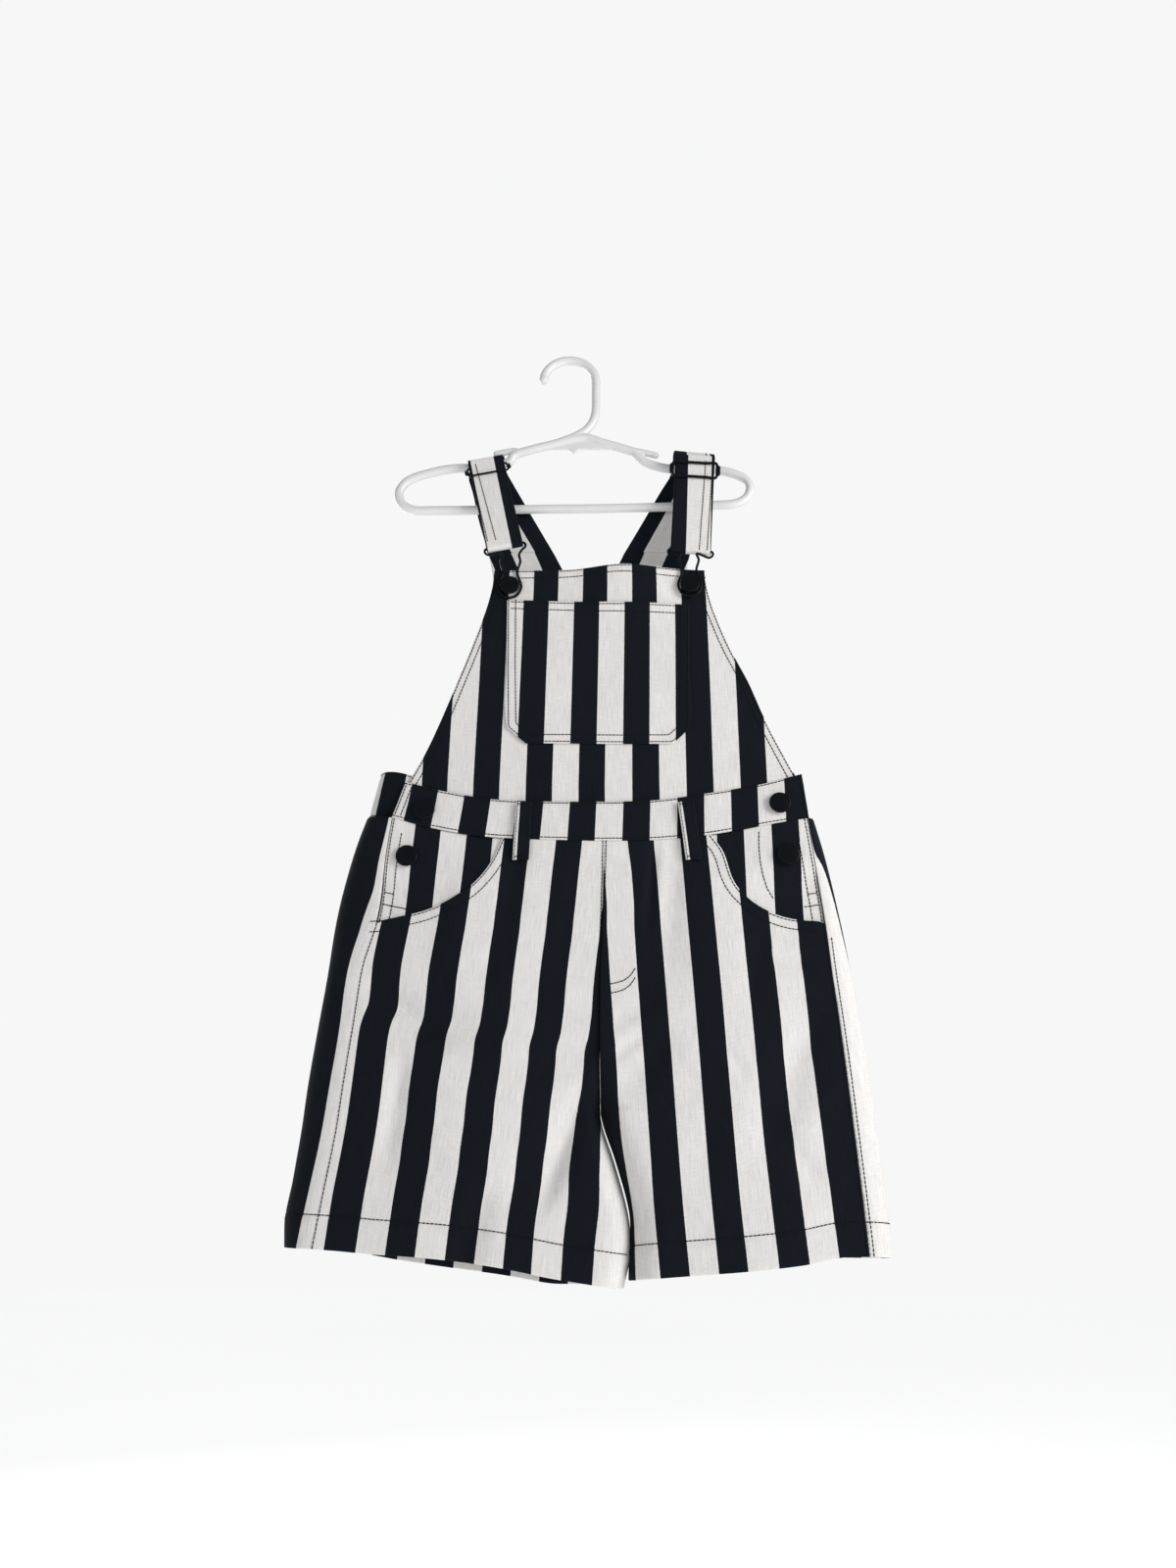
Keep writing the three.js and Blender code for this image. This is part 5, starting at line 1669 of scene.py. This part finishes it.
def tack_button(name, node, x, y, z, neck):
    profile = [
        (0, 0), (NECK_RADIUS, 0), (3.5, neck * 0.5), (3.4, neck), (7.3, neck), (8.0, neck + 0.12),
        (8.4, neck + 0.4), (8.62, neck + 0.85), (8.62, neck + 1.4), (8.45, neck + 1.8),
        (8.1, neck + 2.05), (7.7, neck + 2.14), (7.35, neck + 2.08), (7.05, neck + 1.98),
        (6.7, neck + 2.02), (5.6, neck + 2.22), (4.4, neck + 2.38), (3.0, neck + 2.5),
        (1.5, neck + 2.57), (0, neck + 2.6),
    ]
    vertices, faces = merged([lathe(x, y, z, profile)])
    made = make_object(name, vertices, faces, None, METAL_LOOK)
    dress(made, node)
    return made


BIB_BUTTONS = {"left": (-54, -255.4), "right": (102.4, -255.4)}
SIDE_BUTTONS = {
    "left": {"upper": (-117, -464), "lower": (-129, -503)},
    "right": {"upper": (168, -458.6), "lower": (172, -502)},
}
SLIDERS = {"left": (7, 18.4, False), "right": (10.5, 25.5, True)}


def buckle(name, strap, ring):
    frame = strap_frame(strap)
    bar = frame["start"] + frame["down"] * frame["bar"]
    bar[1] = BAR_Y
    reach = strap["width"] / 2 + 1.9
    rx, ry, rz = ring

    def corner(side, lower):
        return bar + frame["across"] * side * reach + frame["down"] * lower

    half = [(7.5, 33, lerp(BAR_Y, ry, 0.5)), (8.6, 25, ry), (6.2, 14, ry), (10, 0, ry), (6.5, -8.5, ry)]

    def beside(side):
        return [np.array([rx + side * x, y, rz + z]) for x, z, y in half]

    points = [
        corner(-0.9, 0), corner(-0.6, 0), corner(0.6, 0), corner(0.9, 0), corner(0.97, 0.5),
        corner(1.01, 2.6), corner(0.96, 4.8), corner(0.84, 6.2), *beside(1),
        np.array([rx, ry, rz - 11]), *beside(-1)[::-1],
        corner(-0.84, 6.2), corner(-0.96, 4.8), corner(-1.01, 2.6), corner(-0.97, 0.5),
    ]
    vertices, faces = merged([tube(catmull(points, True, 220), WIRE, 12, True)])
    made = make_object(f"wire_buckle_{name}", vertices, faces, None, METAL_LOOK)
    dress(made, f"buckle_{name}")
    return made


def slider(name, strap, upper, lower, upper_in_front):
    frame = strap_frame(strap)
    half_width = strap["width"] / 2 + 1.8
    radius = 1.3

    def at(side, p, y):
        place = frame["start"] + frame["down"] * p + frame["across"] * side * half_width
        place[1] = y
        return place

    def before(p):
        return inner_layer(strap, frame, p) - STRAP_LAYERS - STRAP_THICKNESS - SEAM_GAP - radius

    lower_y = before(lower)
    upper_y = before(upper) if upper_in_front else inner_layer(strap, frame, upper) - STRAP_LAYERS / 2
    mid_p, mid_y = (upper + lower) / 2, (lower_y + upper_y) / 2
    points = [at(side, lower, lower_y) for side in (-0.97, -0.5, 0.5, 0.97)]
    points.append(at(1.02, mid_p, mid_y))
    points += [at(side, upper, upper_y) for side in (0.97, 0.5, -0.5, -0.97)]
    points.append(at(-1.02, mid_p, mid_y))
    parts = [tube(catmull(points, True, 150), radius if upper_in_front else 0.95, 12, True)]
    for side in (1, -1):
        ends = [at(side, upper + 2, upper_y), at(side, lower - 2, lower_y)]
        line = np.linspace(ends[0], ends[1], 13) + frame["across"] * side * 1.6
        parts.append(tube(line, 1.9, 14, False, lambda t: math.sqrt(max(0.05, 1 - abs(2 * t - 1) ** 6))))
    vertices, faces = merged(parts)
    made = make_object(f"wire_slider_{name}", vertices, faces, None, METAL_LOOK)
    dress(made, f"slider_{name}")
    return made


for side in ("left", "right"):
    leg, strap = LEGS[side], STRAPS[side]
    x, z = BIB_BUTTONS[side]
    on_bib = foremost(bib_form, x, z, NECK_RADIUS) - SEAM_GAP
    ring_y = foremost(bib_form, x, z + 6, 16) - LAID_GAP - WIRE
    neck = on_bib - ring_y + WIRE + LAID_GAP
    tack_button(f"button_bib_{side}", f"bib_button_{side}", x, on_bib, z, neck)
    buckle(side, strap, (x, ring_y, z))
    slider(side, strap, *SLIDERS[side])
    for place in ("upper", "lower"):
        x, z = SIDE_BUTTONS[side][place]

        def on_leg(atx, atz):
            return front_at(leg, atx, atz)

        base = foremost(band_at if place == "upper" else on_leg, x, z, NECK_RADIUS) - SEAM_GAP
        tack_button(f"button_{place}_{side}", f"side_button_{place}_{side}", x, base, z, SIDE_BUTTON_NECK)

ARM_LOOP = [
    (12, -85.5), (-23, -94), (-41, -99.5), (-50.5, -102.8), (-56, -106.6), (-57.8, -111),
    (-63.2, -114.2), (-78.5, -116.6), (-94, -119.2), (-106, -119.4), (-118, -121), (-133, -125),
    (-145, -129.4), (-154, -135.5), (-159.5, -147), (-156, -158), (-146, -164.5), (-125, -165.3),
    (-50, -164.2), (32, -163), (100, -161), (129, -159.6), (150, -157.4), (160, -150.5),
    (163, -141), (160, -132.4), (152, -126.8), (135, -121.5), (112, -119.6), (94, -120.4),
    (80, -118), (67, -112.4), (60.8, -106.6), (56, -101.4), (44, -96.4), (28, -91),
]
HOOK_STEM = [(21.6, -38), (21.4, -55), (18.6, -67), (12.5, -76.5), (2, -84), (-12, -90.5)]
PRONGS = [
    [(56, -99.6), (68, -102.4), (80, -106)],
    [(-52, -99.6), (-62, -101.4), (-74, -104.4)],
]
WEB = [
    (12, -85), (62, -101.5), (38, -98.5), (6, -98.5), (1, -103.5), (-4, -98.5), (-38, -98.5),
    (-55, -102.5),
]


def in_plane(points):
    return [np.array([x, 0, z], float) for x, z in points]


def build_hanger():
    arc = []
    for degrees in range(183, -1, -20):
        angle = math.radians(degrees)
        arc.append((HOOK["x"] + HOOK["radius"] * math.cos(angle),
                    HOOK["z"] + HOOK["radius"] * math.sin(angle)))

    def round_tip(t):
        return math.sqrt(max(0.02, 1 - max(0, 1 - t / 0.012) ** 2))

    parts = [
        tube(catmull(in_plane(ARM_LOOP), True, 420), TUBE, 24, True),
        tube(catmull(in_plane(arc + HOOK_STEM), False, 190), TUBE, 24, False, round_tip),
    ]
    for prong in PRONGS:
        parts.append(tube(catmull(in_plane(prong), False, 40), 3, 20, False,
                          lambda t: math.sqrt(max(0.03, 1 - max(0, (t - 0.9) / 0.1) ** 2))))
    web = [np.array([x, y, z], float) for y in (-1.1, 1.1) for x, z in WEB]
    n = len(WEB)
    web_faces = [tuple(range(n)), tuple(reversed(range(n, 2 * n)))]
    web_faces += [(k, k + n, (k + 1) % n + n, (k + 1) % n) for k in range(n)]
    parts.append((web, web_faces))
    vertices, faces = merged(parts)
    made = make_object("moulded_hanger", vertices, faces, None, PLASTIC_LOOK)
    remesh = made.modifiers.new("join", "REMESH")
    remesh.mode = "VOXEL"
    remesh.voxel_size = 0.0009
    remesh.use_smooth_shade = True
    smooth = made.modifiers.new("soften", "SMOOTH")
    smooth.factor = 0.5
    smooth.iterations = 3
    bpy.context.view_layer.update()
    evaluated = made.evaluated_get(bpy.context.evaluated_depsgraph_get())
    mesh = bpy.data.meshes.new_from_object(evaluated)
    made.modifiers.clear()
    made.data = mesh
    mesh.materials.clear()
    mesh.materials.append(PLASTIC_LOOK)
    mesh.polygons.foreach_set("use_smooth", [True] * len(mesh.polygons))
    dress(made, "hanger")
    return made


build_hanger()

# Floor
FLOOR_LOOK = plain_material("floor_paint", (0.86, 0.86, 0.865), 0.85, 3, 0.0, specular=0.1)
FLOOR_SHADER = FLOOR_LOOK.node_tree.nodes["Principled BSDF"]
FLOOR_SHADER.inputs["Emission Color"].default_value = (1, 1, 1, 1)
FLOOR_SHADER.inputs["Emission Strength"].default_value = 0.655
floor = make_object(
    "floor",
    [(-14, -14, -1.35), (14, -14, -1.35), (14, 14, -1.35), (-14, 14, -1.35)],
    [(0, 1, 2, 3)],
    None,
    FLOOR_LOOK,
)
